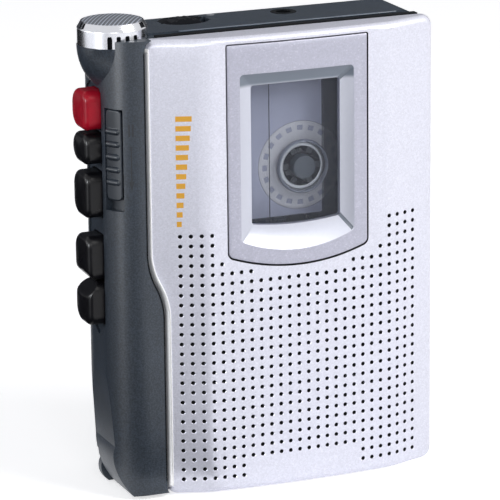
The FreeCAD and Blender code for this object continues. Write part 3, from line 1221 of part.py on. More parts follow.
def cassette():
    """Compact cassette: two half shells, label, rollers, pad, screws and the tape's run."""
    left, right = "cassette_open_edge", "cassette_open_edge + cassette_wide"
    low, high = "cassette_z - cassette_long / 2", "cassette_z + cassette_long / 2"
    for name, sign in (("cassette_front_shell", -1), ("cassette_rear_shell", 1)):
        def span(near, far):
            """Depths measured from the middle plane towards this half, in rising order."""
            pair = (f"cassette_y + ({near}) * {sign}", f"cassette_y + ({far}) * {sign}")
            return pair if sign > 0 else pair[::-1]
        plate = outline(f"{name}_plate", "XZ", span("0", "cassette_thin_half"), [
            at(left, low, round="1.2"), at(right, low, round="1.2"), at(right, high, round="1.2"),
            at(left, high, round="1.2"),
        ])
        raised = outline(f"{name}_raised", "XZ", span("cassette_thin_half - 0.2", "cassette_thick_half"), [
            at(left, "cassette_z - 36"), at(f"{left} + head_zone", "cassette_z - 33.5"),
            at(f"{left} + head_zone", "cassette_z + 33.5"), at(left, "cassette_z + 36"),
        ])
        inside = block(f"{name}_inside", (f"{left} + cassette_shell", f"{right} - cassette_shell"),
                       span("-0.1", "cassette_thin_half - cassette_shell"),
                       (f"{low} + cassette_shell", f"{high} - cassette_shell"))
        tools = [inside]
        for index, height in enumerate(HUBS.values()):
            tools.append(rod(f"{name}_hub_hole_{index}", "Y", ("hub_x", height), ("-14", "6"), "hub_hole"))
        for index, side in enumerate(("-1", "1")):
            spot = ("capstan_x + 0.7", f"cassette_z + ({side}) * capstan_offset")
            tools.append(rod(f"{name}_capstan_hole_{index}", "Y", spot, ("-14", "6"), "capstan_hole"))
            spot = ("capstan_x + 1", f"cassette_z + ({side}) * 20.4")
            tools.append(rod(f"{name}_guide_hole_{index}", "Y", spot, ("-14", "6"), "2.1"))
            tools.append(block(f"{name}_roller_mouth_{index}", (f"{left} - 1", f"{left} + 2.4"), ("-9.6", "0.85"),
                               (f"cassette_z + ({side}) * capstan_offset - 6.4",
                                f"cassette_z + ({side}) * capstan_offset + 6.4")))
            tools.append(block(f"{name}_erase_mouth_{index}", (f"{left} - 1", f"{left} + 2.4"), ("-9.6", "0.85"),
                               (f"cassette_z + ({side}) * 15.6 - 4", f"cassette_z + ({side}) * 15.6 + 4")))
        tools.append(block(f"{name}_head_mouth", (f"{left} - 1", f"{left} + 5.5"), ("-9.6", "0.85"),
                           ("cassette_z - 7.4", "cassette_z + 7.4")))
        tools.append(block(f"{name}_view", ("hub_x - 4.5", "hub_x + 4.5"), ("-14", "6"),
                           ("cassette_z - 9", "cassette_z + 9")))
        shell_half = cut(f"{name}_hollow", fuse(f"{name}_solid", plate, raised), *tools)
        pillars = []
        for index, spot in enumerate(CASSETTE_SCREWS):
            pillars.append(rod(f"{name}_pillar_{index}", "Y", spot, span("0", "cassette_thin_half - 0.1"), "1.9"))
        if sign > 0:
            pillars += [rod(f"guide_pin_{index}", "Y", ("tape_line + 2.95", f"cassette_z + ({side}) * guide_offset"),
                            ("cassette_y - 3", "cassette_y + 3.1"), "0.8") for index, side in enumerate(("-1", "1"))]
        drill = []
        for index, spot in enumerate(CASSETTE_SCREWS):
            drill.append(rod(f"{name}_drill_{index}", "Y", spot, ("cassette_y - 7", "cassette_y + 3"), "0.8"))
            drill.append(rod(f"{name}_sink_{index}", "Y", spot, ("cassette_y - 7", "cassette_y - 3.6"), "1.6"))
        keep(name, cut(name, fuse(f"{name}_pillared", shell_half, *pillars), *drill))
    screws = []
    for index, spot in enumerate(CASSETTE_SCREWS):
        shank = rod(f"cassette_shank_{index}", "Y", spot, ("cassette_y - 3.7", "cassette_y + 2.8"), "0.8")
        cap = rod(f"cassette_cap_{index}", "Y", spot, ("cassette_y - 4.2", "cassette_y - 3.6"), "1.5")
        screws.append(fuse(f"cassette_screw_{index}", shank, cap))
    keep("cassette_screws", group("cassette_screws", *screws))
    for name, side in (("upper_guide_roller", "1"), ("lower_guide_roller", "-1")):
        spot = ("tape_line + 2.95", f"cassette_z + ({side}) * guide_offset")
        tyre = rod(f"{name}_tyre", "Y", spot, ("cassette_y - 2.6", "cassette_y + 2.6"), "2.9")
        bore = rod(f"{name}_bore", "Y", spot, ("-12", "5"), "0.83")
        keep(name, cut(name, tyre, bore))
    felt = block("pad_felt", ("tape_line + 0.35", "tape_line + 1.7"), ("cassette_y - 2", "cassette_y + 2"),
                 ("cassette_z - 2.2", "cassette_z + 2.2"))
    leaf = block("pad_leaf", ("tape_line + 1.7", "tape_line + 1.95"), ("cassette_y - 2.4", "cassette_y + 2.4"),
                 ("cassette_z - 10", "cassette_z + 10"))
    keep("pressure_pad", fuse("pressure_pad", felt, leaf))
    keep("tape_run", tape_run())


CASSETTE_SCREWS = [("-11.5", "13.9"), ("-11.5", "99.5"), ("37.2", "9.9"), ("37.2", "103.5"), ("-11", "cassette_z")]


def tape_run():
    """Thin tape from the full pack round the two guide rollers to the empty hub."""
    thick = 0.12
    line = size("tape_line")
    hub_x = size("hub_x")
    middle = size("cassette_z")
    roller_x = line + 2.95
    reach = size("guide_offset")
    half = size("pack_half")
    y = size("cassette_y") - half

    def side(sign, radius):
        """Outer tangent from a guide roller to a reel of this radius, on one side of the cassette."""
        roller = Vector(roller_x, y, middle + sign * reach)
        reel = Vector(hub_x, y, middle + sign * size("hub_pitch") / 2)
        apart = reel - roller
        angle = math.atan2(apart.z, apart.x)
        lean = math.asin((radius - 2.95) / apart.Length)
        out = angle + sign * (math.pi / 2 + lean)
        normal = Vector(math.cos(out), 0, math.sin(out))
        return roller, roller + normal * 2.95, reel + normal * radius, normal

    pieces = []
    for sign, radius in ((1, size("hub_ring") + 0.05), (-1, size("pack_radius") + 0.05)):
        roller, leave, reach_point, normal = side(sign, radius)
        step = normal * thick
        wire = Part.makePolygon([leave, reach_point, reach_point + step, leave + step, leave])
        pieces.append(Part.Face(wire).extrude(Vector(0, 2 * half, 0)))
        start = Vector(line, y, roller.z)
        bend = roller + (Vector(-1, 0, 0) + normal).normalize() * 2.95
        outer_bend = roller + (Vector(-1, 0, 0) + normal).normalize() * (2.95 + thick)
        edges = [Part.Arc(start, bend, leave).toShape(), Part.LineSegment(leave, leave + step).toShape(),
                 Part.Arc(leave + step, outer_bend, start - Vector(thick, 0, 0)).toShape(),
                 Part.LineSegment(start - Vector(thick, 0, 0), start).toShape()]
        pieces.append(Part.Face(Part.Wire(edges)).extrude(Vector(0, 2 * half, 0)))
    straight = Part.makeBox(thick, 2 * half, 2 * reach, Vector(line - thick, y, middle - reach))
    item = doc.addObject("Part::Feature", "tape_run")
    item.Shape = straight.multiFuse(pieces).removeSplitter()
    return item


def volume_control():
    """Thumbwheel in the top scoop and the control that it turns."""
    spot = ("wheel_x", "wheel_z")
    disc = rod("wheel_disc", "Y", spot, ("wheel_y - wheel_thick / 2", "wheel_y + wheel_thick / 2"), "wheel_radius")
    flutes = [rod(f"wheel_flute_{index}", "Y",
                  (f"wheel_x + (wheel_radius + 0.35) * cos({index * 15})",
                   f"wheel_z + (wheel_radius + 0.35) * sin({index * 15})"),
                  ("wheel_y - wheel_thick", "wheel_y + wheel_thick"), "0.7") for index in range(24)]
    bore = rod("wheel_bore", "Y", spot, ("0", "10"), "1.2")
    keep("volume_wheel", cut("volume_wheel", disc, *flutes, bore))
    can = rod("control_can", "Y", spot, ("wheel_y + wheel_thick / 2 + 0.2", "board_front"), "5")
    pin = rod("control_pin", "Y", spot, ("wheel_y - wheel_thick / 2 - 0.5", "board_front"), "1.15")
    keep("volume_control", fuse("volume_control", can, pin))


def electronics():
    """Circuit board with its parts, the sockets and the lamp."""
    board = outline("board_form", "XZ", ("board_front", "board_back"), [
        at("board_left", "board_low"), at("board_step", "board_low"), at("board_right", "board_low + 10"),
        at("board_right", "board_high"), at("board_left", "board_high"),
    ])
    holes = [rod("board_case_hole", "Y", CASE_SCREWS[2], ("5", "12"), "column_radius + 0.4")]
    board = cut("board_drilled", board, *holes)
    chips = [
        block("amplifier_chip", ("-22", "-12"), ("board_back", "board_back + 1.5"), ("68", "73")),
        block("motor_chip", ("-30", "-25"), ("board_back", "board_back + 1.4"), ("58", "63")),
        block("record_switch", ("-33.8", "-29.5"), ("board_back", "board_back + 2.4"), ("88", "102")),
        rod("capacitor_large", "Y", ("-26", "80"), ("board_back", "board_back + 6"), "3"),
        rod("capacitor_middle", "Y", ("-19", "94"), ("board_back", "board_back + 5"), "2.5"),
        rod("capacitor_small", "Y", ("-10", "101"), ("board_back", "board_back + 4.5"), "2"),
        rod("capacitor_side", "Y", ("-2", "101"), ("board_back", "board_back + 4.5"), "2"),
    ]
    keep("circuit_board", fuse("circuit_board", board, *chips))
    spot = ("ear_x", "ear_y")
    body = block("ear_body", ("ear_x - ear_half", "ear_x + ear_half"), ("ear_y - ear_half + 0.2", "ear_y + ear_half"),
                 ("case_top - ear_depth - 1.2", "case_top - case_wall - 0.05"))
    nose = rod("ear_nose", "Z", spot, ("case_top - case_wall - 0.1", "case_top - ear_recess"), "socket_nose")
    hole = rod("ear_hole", "Z", spot, ("case_top - ear_depth", "case_top + 1"), "plug_radius")
    ear_socket = cut("ear_socket", fuse("ear_solid", body, nose), hole)
    spot = ("socket_y", "mic_socket_z")
    body = block("mic_socket_body", ("case_right - 13", "case_right - case_wall - 0.05"),
                 ("socket_y - 3.4", "socket_y + 3.4"), ("mic_socket_z - 3.6", "mic_socket_z + 3.6"))
    nose = rod("mic_socket_nose", "X", spot, ("case_right - case_wall - 0.1", "case_right + 0.25"), "socket_nose")
    hole = rod("mic_socket_hole", "X", spot, ("case_right - 12", "case_right + 1"), "plug_radius")
    mic_socket = cut("mic_socket", fuse("mic_socket_solid", body, nose), hole)
    keep("plug_sockets", group("plug_sockets", ear_socket, mic_socket))
    spot = ("socket_y", "power_z")
    body = block("power_body", ("case_right - 11", "case_right - case_wall - 0.05"),
                 ("socket_y - 3.4", "socket_y + 3.4"), ("power_z - 4", "power_z + 4"))
    nose = rod("power_nose", "X", spot, ("case_right - case_wall - 0.1", "case_right"), "socket_nose")
    hole = rod("power_hole", "X", spot, ("case_right - 9.5", "case_right + 1"), "2.1")
    pin = rod("power_pin", "X", spot, ("case_right - 9.6", "case_right - 1"), "0.85")
    keep("power_socket", fuse("power_socket", cut("power_shell", fuse("power_solid", body, nose), hole), pin))
    keep("record_lamp", rod("record_lamp", "Z", ("lamp_x", "lamp_y"), ("case_top - 4.5", "case_top"), "lamp_radius"))


def batteries():
    """Two round cells with their spring and plate contacts."""
    cells = []
    contacts = []
    for index, x in enumerate(("cell_left_x", "cell_right_x")):
        can = rod(f"cell_can_{index}", "Z", (x, "cell_y"), ("cell_bottom", "cell_bottom + cell_long - 1.2"),
                  "cell_radius")
        tip = rod(f"cell_tip_{index}", "Z", (x, "cell_y"), ("cell_bottom + cell_long - 1.3",
                                                            "cell_bottom + cell_long"), "2.7")
        cells.append(fuse(f"cell_{index}", can, tip))
        contacts.append(rod(f"foot_contact_{index}", "Z", (x, "cell_y"), ("bay_bottom", "cell_bottom"), "3.2"))
        contacts.append(block(f"head_contact_{index}", (f"{x} - 4", f"{x} + 4"), ("cell_y - 4", "cell_y + 4"),
                              ("bay_top - 0.4", "bay_top")))
        contacts.append(rod(f"head_spring_{index}", "Z", (x, "cell_y"), ("cell_bottom + cell_long", "bay_top - 0.4"),
                            "2.4"))
    keep("batteries", group("batteries", *cells))
    keep("battery_contacts", group("battery_contacts", *contacts))


for make in (front_frame, strap_lug, rear_cabinet, battery_door, case_screws, lid_cover, window_frame, window_pane,
             lid_inner_plate, lid_fittings, speaker, microphone, keys, key_bracket, pause_slider, deck_plate, heads,
             pinch_roller, drive, reels, cassette, volume_control, electronics, batteries):
    make()
doc.recompute()

faults = [item.Name for item in doc.Objects if {"Invalid", "Error"} & set(item.State)]
for name, item in nodes.items():
    if item.Shape.isNull() or not item.Shape.isValid() or not item.Shape.Solids:
        faults.append(name)
if faults:
    raise RuntimeError("pieces not built: " + ", ".join(faults))

os.makedirs("parts", exist_ok=True)
for name, item in nodes.items():
    item.Shape.exportStep(f"parts/{name}.step")
print(len(nodes), "nodes written")
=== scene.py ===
"""Looks of a hand-held cassette voice recorder, laid out as an add-on and run as a script."""

import json
import math

import bmesh
import bpy
import numpy as np
from mathutils import Matrix, Vector
from mathutils.geometry import delaunay_2d_cdt


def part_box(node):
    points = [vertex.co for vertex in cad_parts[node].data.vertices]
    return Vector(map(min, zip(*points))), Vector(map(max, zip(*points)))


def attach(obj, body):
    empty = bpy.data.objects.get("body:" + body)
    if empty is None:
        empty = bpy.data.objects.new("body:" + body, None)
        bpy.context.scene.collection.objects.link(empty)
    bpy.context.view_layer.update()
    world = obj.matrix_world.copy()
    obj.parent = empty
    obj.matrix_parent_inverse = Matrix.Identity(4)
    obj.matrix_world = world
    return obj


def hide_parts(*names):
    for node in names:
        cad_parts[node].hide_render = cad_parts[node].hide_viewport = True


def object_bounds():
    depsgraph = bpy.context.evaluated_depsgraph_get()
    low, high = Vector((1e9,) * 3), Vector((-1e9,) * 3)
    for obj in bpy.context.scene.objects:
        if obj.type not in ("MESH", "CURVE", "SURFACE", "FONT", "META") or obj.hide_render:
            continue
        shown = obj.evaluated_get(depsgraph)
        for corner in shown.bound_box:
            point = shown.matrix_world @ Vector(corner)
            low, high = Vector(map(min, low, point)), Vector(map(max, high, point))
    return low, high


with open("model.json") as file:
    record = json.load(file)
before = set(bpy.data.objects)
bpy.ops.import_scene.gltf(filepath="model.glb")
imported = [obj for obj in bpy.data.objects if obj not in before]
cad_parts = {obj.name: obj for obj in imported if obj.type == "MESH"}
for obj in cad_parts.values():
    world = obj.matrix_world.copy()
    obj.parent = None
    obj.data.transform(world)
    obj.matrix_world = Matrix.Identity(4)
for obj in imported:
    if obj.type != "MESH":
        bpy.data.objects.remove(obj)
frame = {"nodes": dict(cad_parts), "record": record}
cad_low, cad_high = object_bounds()

bl_info = {
    "name": "Cassette Voice Recorder",
    "version": (1, 0, 0),
    "blender": (4, 5, 0),
    "location": "3D View > Sidebar > Recorder",
    "description": "Dresses the construction of a cassette voice recorder",
    "category": "Object",
}

MM = 0.001
# Points closer than this become one.
WELD = 0.002 * MM
# Gap between the window trim and the lid's opening.
OPENING_GAP = 0.32 * MM
# Where the two right corners of the trim's slope start among the points of its loop.
# These corners are painted darker as painted shade.
SLOPE_CORNERS = (18, 42)
# How far the slants at a key's lower and upper end lie behind its face there, in millimetres.
KEY_SLANTS = {
    "record_key": (0, 0),
    "stop_key": (0, 0),
    "play_key": (0, 0),
    "rewind_key": (2.6, 0),
    "forward_key": (0, 3.4),
}
# Angles of the slots in the microphone's cap, in degrees.
CAP_SLOTS = (-114, -99.3, -84.8, -69.5)
# Angles of the marks on the cap's cone, in degrees, and half their widths in millimetres.
CAP_MARKS = ((-178, 0.42), (-168, 0.42), (-46, 0.95), (88, 0.42), (98, 0.42))
# The point that every lamp looks at.
LAMP_AIM = (0.005, -0.01, 0.07)
# Corners of the cards that only reflections see.
CARDS = {
    "front_card": [
        (-0.34, -0.34, 0.004),
        (-0.075, -0.34, 0.004),
        (-0.014, -0.02, 0.004),
        (-0.2, -0.02, 0.004),
    ],
    "side_card": [
        (-0.4, -0.05, 0.004),
        (-0.05, -0.02, 0.004),
        (-0.02, 0.7, 0.004),
        (-0.65, 0.7, 0.004),
    ],
    "rear_card": [(-0.6, 0.7, 0.02), (1.2, 0.7, 0.02), (1.2, 0.75, 0.62), (-0.6, 0.75, 0.62)],
}
# The material's name of each finish, which Blender numbers where the frame has one of that name.
FINISHES = {}


def length(name, description, millimetres):
    """A length property with its default given in millimetres."""
    return bpy.props.FloatProperty(
        name=name, description=description, default=millimetres * MM, unit="LENGTH", precision=5
    )


def angle(name, description, degrees):
    """An angle property with its default given in degrees."""
    return bpy.props.FloatProperty(
        name=name, description=description, default=math.radians(degrees), unit="ROTATION"
    )


def amount(name, description, default):
    """A property for a number that is never negative."""
    return bpy.props.FloatProperty(name=name, description=description, default=default, min=0.0)


def tint(name, description, colour):
    """A colour property."""
    return bpy.props.FloatVectorProperty(
        name=name, description=description, default=colour, subtype="COLOR"
    )


class Value:
    """A shader socket in Python arithmetic: every operator adds one Math node."""

    def __init__(self, finish, node, output=0):
        self.finish = finish
        self.node = node
        self.socket = node.outputs[output] if len(node.outputs) else None

    def of(self, output):
        """Another output of the same node."""
        return Value(self.finish, self.node, output)

    def _math(self, operation, *terms):
        return self.finish.node("ShaderNodeMath", {"operation": operation}, dict(enumerate(terms)))

    def __add__(self, other):
        return self._math("ADD", self, other)

    def __sub__(self, other):
        return self._math("SUBTRACT", self, other)

    def __rsub__(self, other):
        return self._math("SUBTRACT", other, self)

    def __mul__(self, other):
        return self._math("MULTIPLY", self, other)

    __radd__ = __add__
    __rmul__ = __mul__

    def wave(self, pitch):
        """A sine from 0 to 1 that repeats every pitch."""
        return self._math("SINE", self * (2 * math.pi / pitch)) * 0.5 + 0.5

    def least(self, other):
        """The smaller of two values."""
        return self._math("MINIMUM", self, other)

    def most(self, other):
        """The larger of two values."""
        return self._math("MAXIMUM", self, other)

    def rise(self, start, end):
        """0 before start, 1 after end, and a smooth step between them."""
        return self.finish.node(
            "ShaderNodeMapRange",
            {"interpolation_type": "SMOOTHSTEP"},
            {"Value": self, "From Min": start, "From Max": end},
        )


class Finish:
    """A material, or a world, whose nodes are added one call at a time."""

    def __init__(self, name, store=bpy.data.materials):
        self.material = store.new(name)
        FINISHES[name] = self.material.name
        self.material.use_nodes = True
        self.tree = self.material.node_tree
        self.tree.nodes.clear()

    def node(self, kind, settings=None, inputs=None):
        """One node: its settings first, then a number or a link for each named socket."""
        made = self.tree.nodes.new(kind)
        for name, setting in (settings or {}).items():
            setattr(made, name, setting)
        for name, fed in (inputs or {}).items():
            if isinstance(fed, Value):
                self.tree.links.new(fed.socket, made.inputs[name])
            else:
                made.inputs[name].default_value = fed
        return Value(self, made)

    def place(self, scale=(1, 1, 1), turn=(0, 0, 0)):
        """Object coordinates, in metres, turned and stretched by a Mapping node."""
        here = self.node("ShaderNodeTexCoord").of("Object")
        inputs = {"Vector": here, "Scale": scale, "Rotation": turn}
        return self.node("ShaderNodeMapping", None, inputs)

    def parts(self, vector=None):
        """The X, Y and Z of a vector, or else of the place."""
        split = self.node("ShaderNodeSeparateXYZ", None, {"Vector": vector or self.place()})
        return split.of("X"), split.of("Y"), split.of("Z")

    def noise(self, pitch, detail=2.0, rough=0.5, scale=(1, 1, 1)):
        """Cloudy noise from 0 to 1 whose clumps are about pitch metres over the scale across."""
        inputs = {"Vector": self.place(scale), "Scale": 1 / pitch}
        inputs.update({"Detail": detail, "Roughness": rough})
        return self.node("ShaderNodeTexNoise", None, inputs)

    def cells(self, pitch):
        """A random number for each cell of about pitch metres."""
        inputs = {"Vector": self.place(), "Scale": 1 / pitch}
        cells = self.node("ShaderNodeTexVoronoi", None, inputs)
        split = self.node("ShaderNodeSeparateColor", None, {"Color": cells.of("Color")})
        return split.of("Red")

    def mix(self, factor, first, second):
        """A colour between two."""
        inputs = {"Factor": factor, 6: opaque(first), 7: opaque(second)}
        return self.node("ShaderNodeMix", {"data_type": "RGBA"}, inputs).of(2)

    def between(self, factor, colour, dark, light):
        """A colour that goes from its dark share to its light share."""
        return self.mix(factor, shade(colour, dark), shade(colour, light))

    def bump(self, height, depth, strength=1.0):
        """The normal of a height from 0 to 1 that stands for depth metres."""
        inputs = {"Height": height, "Distance": depth, "Strength": strength}
        return self.node("ShaderNodeBump", None, inputs)

    def close(self, **sockets):
        """Ends the material in one Principled shader with these sockets."""
        return self.output(self.principled(**sockets))

    def principled(self, **sockets):
        """A Principled shader; an underscore stands for a space in a socket's name."""
        named = {name.replace("_", " "): fed for name, fed in sockets.items()}
        return self.node("ShaderNodeBsdfPrincipled", None, named)

    def seen_directly(self):
        """1 for what the camera sees, also by mirror or through glass, 0 for what gives light."""
        path = self.node("ShaderNodeLightPath")
        mirrored = path.of("Is Camera Ray").most(path.of("Is Glossy Ray"))
        return mirrored.most(path.of("Is Transmission Ray"))

    def output(self, shader, kind="ShaderNodeOutputMaterial"):
        """Links a shader to the output."""
        self.node(kind, None, {"Surface": shader})
        return self.material


def finish(name):
    """The material of a finish."""
    return bpy.data.materials[FINISHES[name]]


def opaque(colour):
    """A colour with the fourth number that a colour socket needs."""
    return colour if isinstance(colour, Value) else (*colour[:3], 1)


def shade(colour, share):
    """A colour made lighter or darker by a share."""
    return tuple(min(1.0, part * share) for part in colour[:3])


def case_plastic(look):
    """Moulded plastic: a fine spark texture, a satin sheen and clouds of slightly paler polish."""
    made = Finish("case_plastic")
    spark = made.noise(0.42 * MM, 3, 0.7)
    rubbed = made.noise(14 * MM, 2).rise(0.42, 0.7)
    grain = spark.rise(0.36, 0.66)
    return made.close(
        Base_Color=made.between(rubbed * 0.2 + grain * 0.7, look.case, 0.66, 1.55),
        Roughness=0.32 + spark * 0.14 - rubbed * 0.04,
        Specular_IOR_Level=0.5,
        Normal=made.bump(spark, 0.05 * MM, 0.8),
    )


def sparkle_lacquer(name, colour):
    """Silver lacquer: flakes of a third of a millimetre, each of its own tone, under clear coat."""
    made = Finish(name)
    flake = made.cells(0.32 * MM)
    drift = made.noise(0.6 * MM, 3, 0.65)
    glint = flake.rise(0.93, 1.0)
    tone = made.between(flake * 0.6 + drift * 0.4, colour, 0.88, 1.08)
    return made.close(
        Base_Color=made.mix(glint * 0.1, tone, (1, 1, 1)),
        Metallic=0.42 + glint * 0.1,
        Roughness=0.42 - flake * 0.05 + drift * 0.06,
        Coat_Weight=0.15,
        Coat_Roughness=0.15,
        Normal=made.bump(drift, 0.012 * MM, 0.3),
    )


def bezel_plating(look):
    """Silver plating of the window's slope: satin, with a darker tone painted on its upper side as
    painted shade.
    """
    made = Finish("bezel_plating")
    up = made.parts()[2]
    drift = made.noise(0.8 * MM, 3)
    # Painted shade: the slope's upper side, which faces down, takes the darker colour.
    painted_bezel_shade = up.rise(100.6 * MM, 101.8 * MM)
    return made.close(
        Base_Color=made.mix(painted_bezel_shade, made.between(drift, look.bezel, 0.97, 1.03), look.painted_bezel_shade),
        Metallic=0.3,
        Roughness=0.3 + drift * 0.08,
        Coat_Weight=0.2,
        Normal=made.bump(drift, 0.006 * MM, 0.2),
    )


def printed_ink(name, colour):
    """Screen-printed ink: a shade uneven and slightly raised at its grain."""
    made = Finish(name)
    grain = made.noise(0.2 * MM, 3, 0.7)
    return made.close(
        Base_Color=made.between(grain, colour, 0.9, 1.1),
        Roughness=0.45 + grain * 0.15,
        Normal=made.bump(grain, 0.01 * MM, 0.4),
    )


def gloss_plastic(name, colour, polish=0.14, shine=0.5):
    """Glossy moulded plastic: faint flow marks, fine handling haze and a shallow orange-peel."""
    made = Finish(name)
    peel = made.noise(1.6 * MM, 2)
    haze = made.noise(5 * MM, 4, 0.6)
    return made.close(
        Base_Color=made.between(haze.rise(0.35, 0.75), colour, 0.88, 1.14),
        Roughness=polish + haze * 0.1,
        Specular_IOR_Level=shine,
        Normal=made.bump(peel, 0.02 * MM, 0.3),
    )


def plated(name, colour, rough=0.28, grain=(1, 1, 14)):
    """Plated or rolled metal: fine drawn lines along one way and a few dull patches."""
    made = Finish(name)
    lines = made.noise(0.35 * MM, 3, 0.6, grain)
    patch = made.noise(6 * MM, 3)
    return made.close(
        Base_Color=made.between(lines * 0.5 + patch * 0.3, colour, 0.8, 1.12),
        Metallic=1.0,
        Roughness=rough + patch.rise(0.5, 0.8) * 0.14 + lines * 0.08,
        Normal=made.bump(lines, 0.01 * MM, 0.4),
    )


def turned_metal(name, colour):
    """Metal turned on a lathe: fine even lines at equal heights across its face, and a stain."""
    made = Finish(name)
    rings = made.parts()[2].wave(0.5 * MM)
    stain = made.noise(4 * MM, 3)
    return made.close(
        Base_Color=made.between(stain * 0.6 + rings * 0.25, colour, 0.8, 1.15),
        Metallic=1.0,
        Roughness=0.2 + rings * 0.1 + stain * 0.15,
        Normal=made.bump(rings, 0.01 * MM, 0.3),
    )


def rubber(name, colour, shine=0.5):
    """Dull rubber: pores, a grey bloom and a soft, open surface."""
    made = Finish(name)
    pore = made.noise(0.25 * MM, 3, 0.7)
    bloom = made.noise(3 * MM, 3).rise(0.45, 0.8)
    return made.close(
        Base_Color=made.between(bloom * 0.5 + pore * 0.2, colour, 1, 2.2),
        Roughness=0.72 + pore * 0.18,
        Specular_IOR_Level=shine,
        Normal=made.bump(pore, 0.04 * MM, 0.6),
    )


def nylon(name, colour, through=0.0):
    """Moulded nylon: waxy, with faint flow lines and a mottled skin."""
    made = Finish(name)
    flow = made.noise(2.2 * MM, 3, 0.6, (1, 3, 1))
    skin = made.noise(0.4 * MM, 2)
    return made.close(
        Base_Color=made.between(flow * 0.7, colour, 0.88, 1.08),
        Roughness=0.36 + skin * 0.16,
        Subsurface_Weight=through,
        Subsurface_Radius=(0.002, 0.002, 0.002),
        Subsurface_Scale=0.4,
        Normal=made.bump(skin, 0.015 * MM, 0.4),
    )


def smoke_shell(look, sizes):
    """Smoky translucent plastic, paler and clearer where the label's film covers it."""
    made = Finish("cassette_smoke")
    east, _, up = made.parts()
    beyond = east.rise(sizes.label_right - 0.05 * MM, sizes.label_right + 0.05 * MM)
    film = (1 - beyond) * up.rise(sizes.label_foot - 0.1 * MM, sizes.label_foot)
    side = east.rise(sizes.label_line - 0.06 * MM, sizes.label_line + 0.06 * MM)
    strip = east.rise(sizes.label_right - 1.3 * MM, sizes.label_right - 1.1 * MM)
    swirl = made.noise(9 * MM, 3)
    scuff = made.noise(0.6 * MM, 4, 0.7, (1, 1, 0.1)).rise(0.62, 0.85)
    dark = made.between(swirl * 0.6 + scuff * 0.04, look.smoke, 0.85, 1.3)
    pale = made.between(strip * 0.6 + (1 - side) * 0.35, look.label, 1, 1.35)
    return made.close(
        Base_Color=made.mix(film, dark, pale),
        Roughness=0.24 + scuff * 0.04,
        Alpha=0.55 - film * 0.45,
        Normal=made.bump(swirl, 0.02 * MM, 0.15),
    )


def clear_acrylic(look):
    """Clear pane: see-through, with a grey veil, hair scratches and more gloss at a low angle."""
    made = Finish("clear_acrylic")
    scratch = made.noise(0.3 * MM, 3, 0.7, (1, 1, 0.06)).rise(0.62, 0.8)
    haze = made.noise(7 * MM, 2)
    veil = made.principled(
        Base_Color=made.between(haze, look.pane, 0.9, 1.1),
        Roughness=0.08 + scratch * 0.05,
        Coat_Weight=0.4,
    )
    clear = made.node("ShaderNodeBsdfTransparent", None, {"Color": (0.97, 0.985, 1, 1)})
    facing = made.node("ShaderNodeLayerWeight", None, {"Blend": 0.25}).of("Fresnel")
    share = (0.05 + facing * 0.5 + scratch * 0.015 + haze * 0.02).least(1)
    return made.output(made.node("ShaderNodeMixShader", None, {"Fac": share, 1: clear, 2: veil}))


def coated_film(look):
    """Wound tape: concentric edges of film, brown with a soft shine."""
    made = Finish("coated_film")
    layers = made.noise(0.12 * MM, 4, 0.7)
    band = made.noise(5 * MM, 2)
    return made.close(
        Base_Color=made.between(layers * 0.6 + band * 0.4, look.tape, 0.7, 1.5),
        Roughness=0.3 + layers * 0.2,
        Normal=made.bump(layers, 0.02 * MM, 0.4),
    )


def resin_board(look):
    """Circuit board: green resin over a copper pattern of lanes, with a glass weave."""
    made = Finish("resin_board")
    east, _, up = made.parts()
    copper = (east.wave(2.5 * MM) * up.wave(3.1 * MM)).rise(0.3, 0.36)
    weave = made.noise(0.3 * MM, 2)
    return made.close(
        Base_Color=made.between(copper * 0.7 + weave * 0.1, look.board, 0.8, 1.6),
        Roughness=0.34 + weave * 0.12,
        Coat_Weight=0.3,
        Normal=made.bump(copper, 0.04 * MM, 0.5),
    )


def cone_paper(look):
    """Pressed paper: matted fibres and a dry, dark surface."""
    made = Finish("cone_paper")
    fibre = made.noise(0.35 * MM, 5, 0.75, (1, 1, 0.3))
    clump = made.noise(2.5 * MM, 3)
    return made.close(
        Base_Color=made.between(fibre * 0.7 + clump * 0.3, look.cone, 0.7, 1.9),
        Roughness=0.85 + fibre * 0.1,
        Normal=made.bump(fibre, 0.06 * MM, 0.7),
    )


def cell_jacket(look):
    """Dry cells: a plain foil jacket in two tones with a metal glint."""
    made = Finish("cell_jacket")
    split = made.parts()[2].rise(40 * MM, 40.3 * MM)
    grain = made.noise(0.8 * MM, 3)
    foil = made.between(grain * 0.6, look.cell, 0.85, 1.15)
    return made.close(
        Base_Color=made.mix(split, foil, look.cell_head),
        Metallic=0.6 - split * 0.5,
        Roughness=0.26 + grain * 0.14,
        Coat_Weight=0.3,
        Normal=made.bump(grain, 0.01 * MM, 0.3),
    )


def lamp_plastic(look):
    """Diffusing lamp body: tinted, cloudy and half clear."""
    made = Finish("lamp_plastic")
    cloud = made.noise(0.8 * MM, 3)
    return made.close(
        Base_Color=made.between(cloud, look.lamp, 0.8, 1.3),
        Roughness=0.22 + cloud * 0.15,
        Alpha=0.75 + cloud * 0.15,
    )


def wire_mesh(look, sizes):
    """Woven gauze: two sets of round wires that cross on the slant, under wider lines painted
    bright as painted highlight.
    """
    made = Finish("wire_mesh")
    east, north, _ = made.parts(made.place(turn=(0, 0, -sizes.line_turn)))
    wire = east.wave(0.42 * MM).rise(0.2, 0.95).most(north.wave(0.42 * MM).rise(0.2, 0.95))
    beside = sizes.x * -math.sin(sizes.line_turn) + sizes.y * math.cos(sizes.line_turn)
    # Painted highlight: over the gauze's raised lines the colour is 2.6 times as bright.
    painted_line_highlight = (north - (beside - sizes.line_pitch / 4)).wave(sizes.line_pitch).rise(0.62, 1.0)
    woven = made.between(wire, look.mesh, 0.3, 1)
    return made.close(
        Base_Color=made.mix(painted_line_highlight, woven, shade(look.mesh, 2.6)),
        Metallic=0.6,
        Roughness=0.45 - wire * 0.1,
        Normal=made.bump(wire, 0.12 * MM, 0.9),
    )


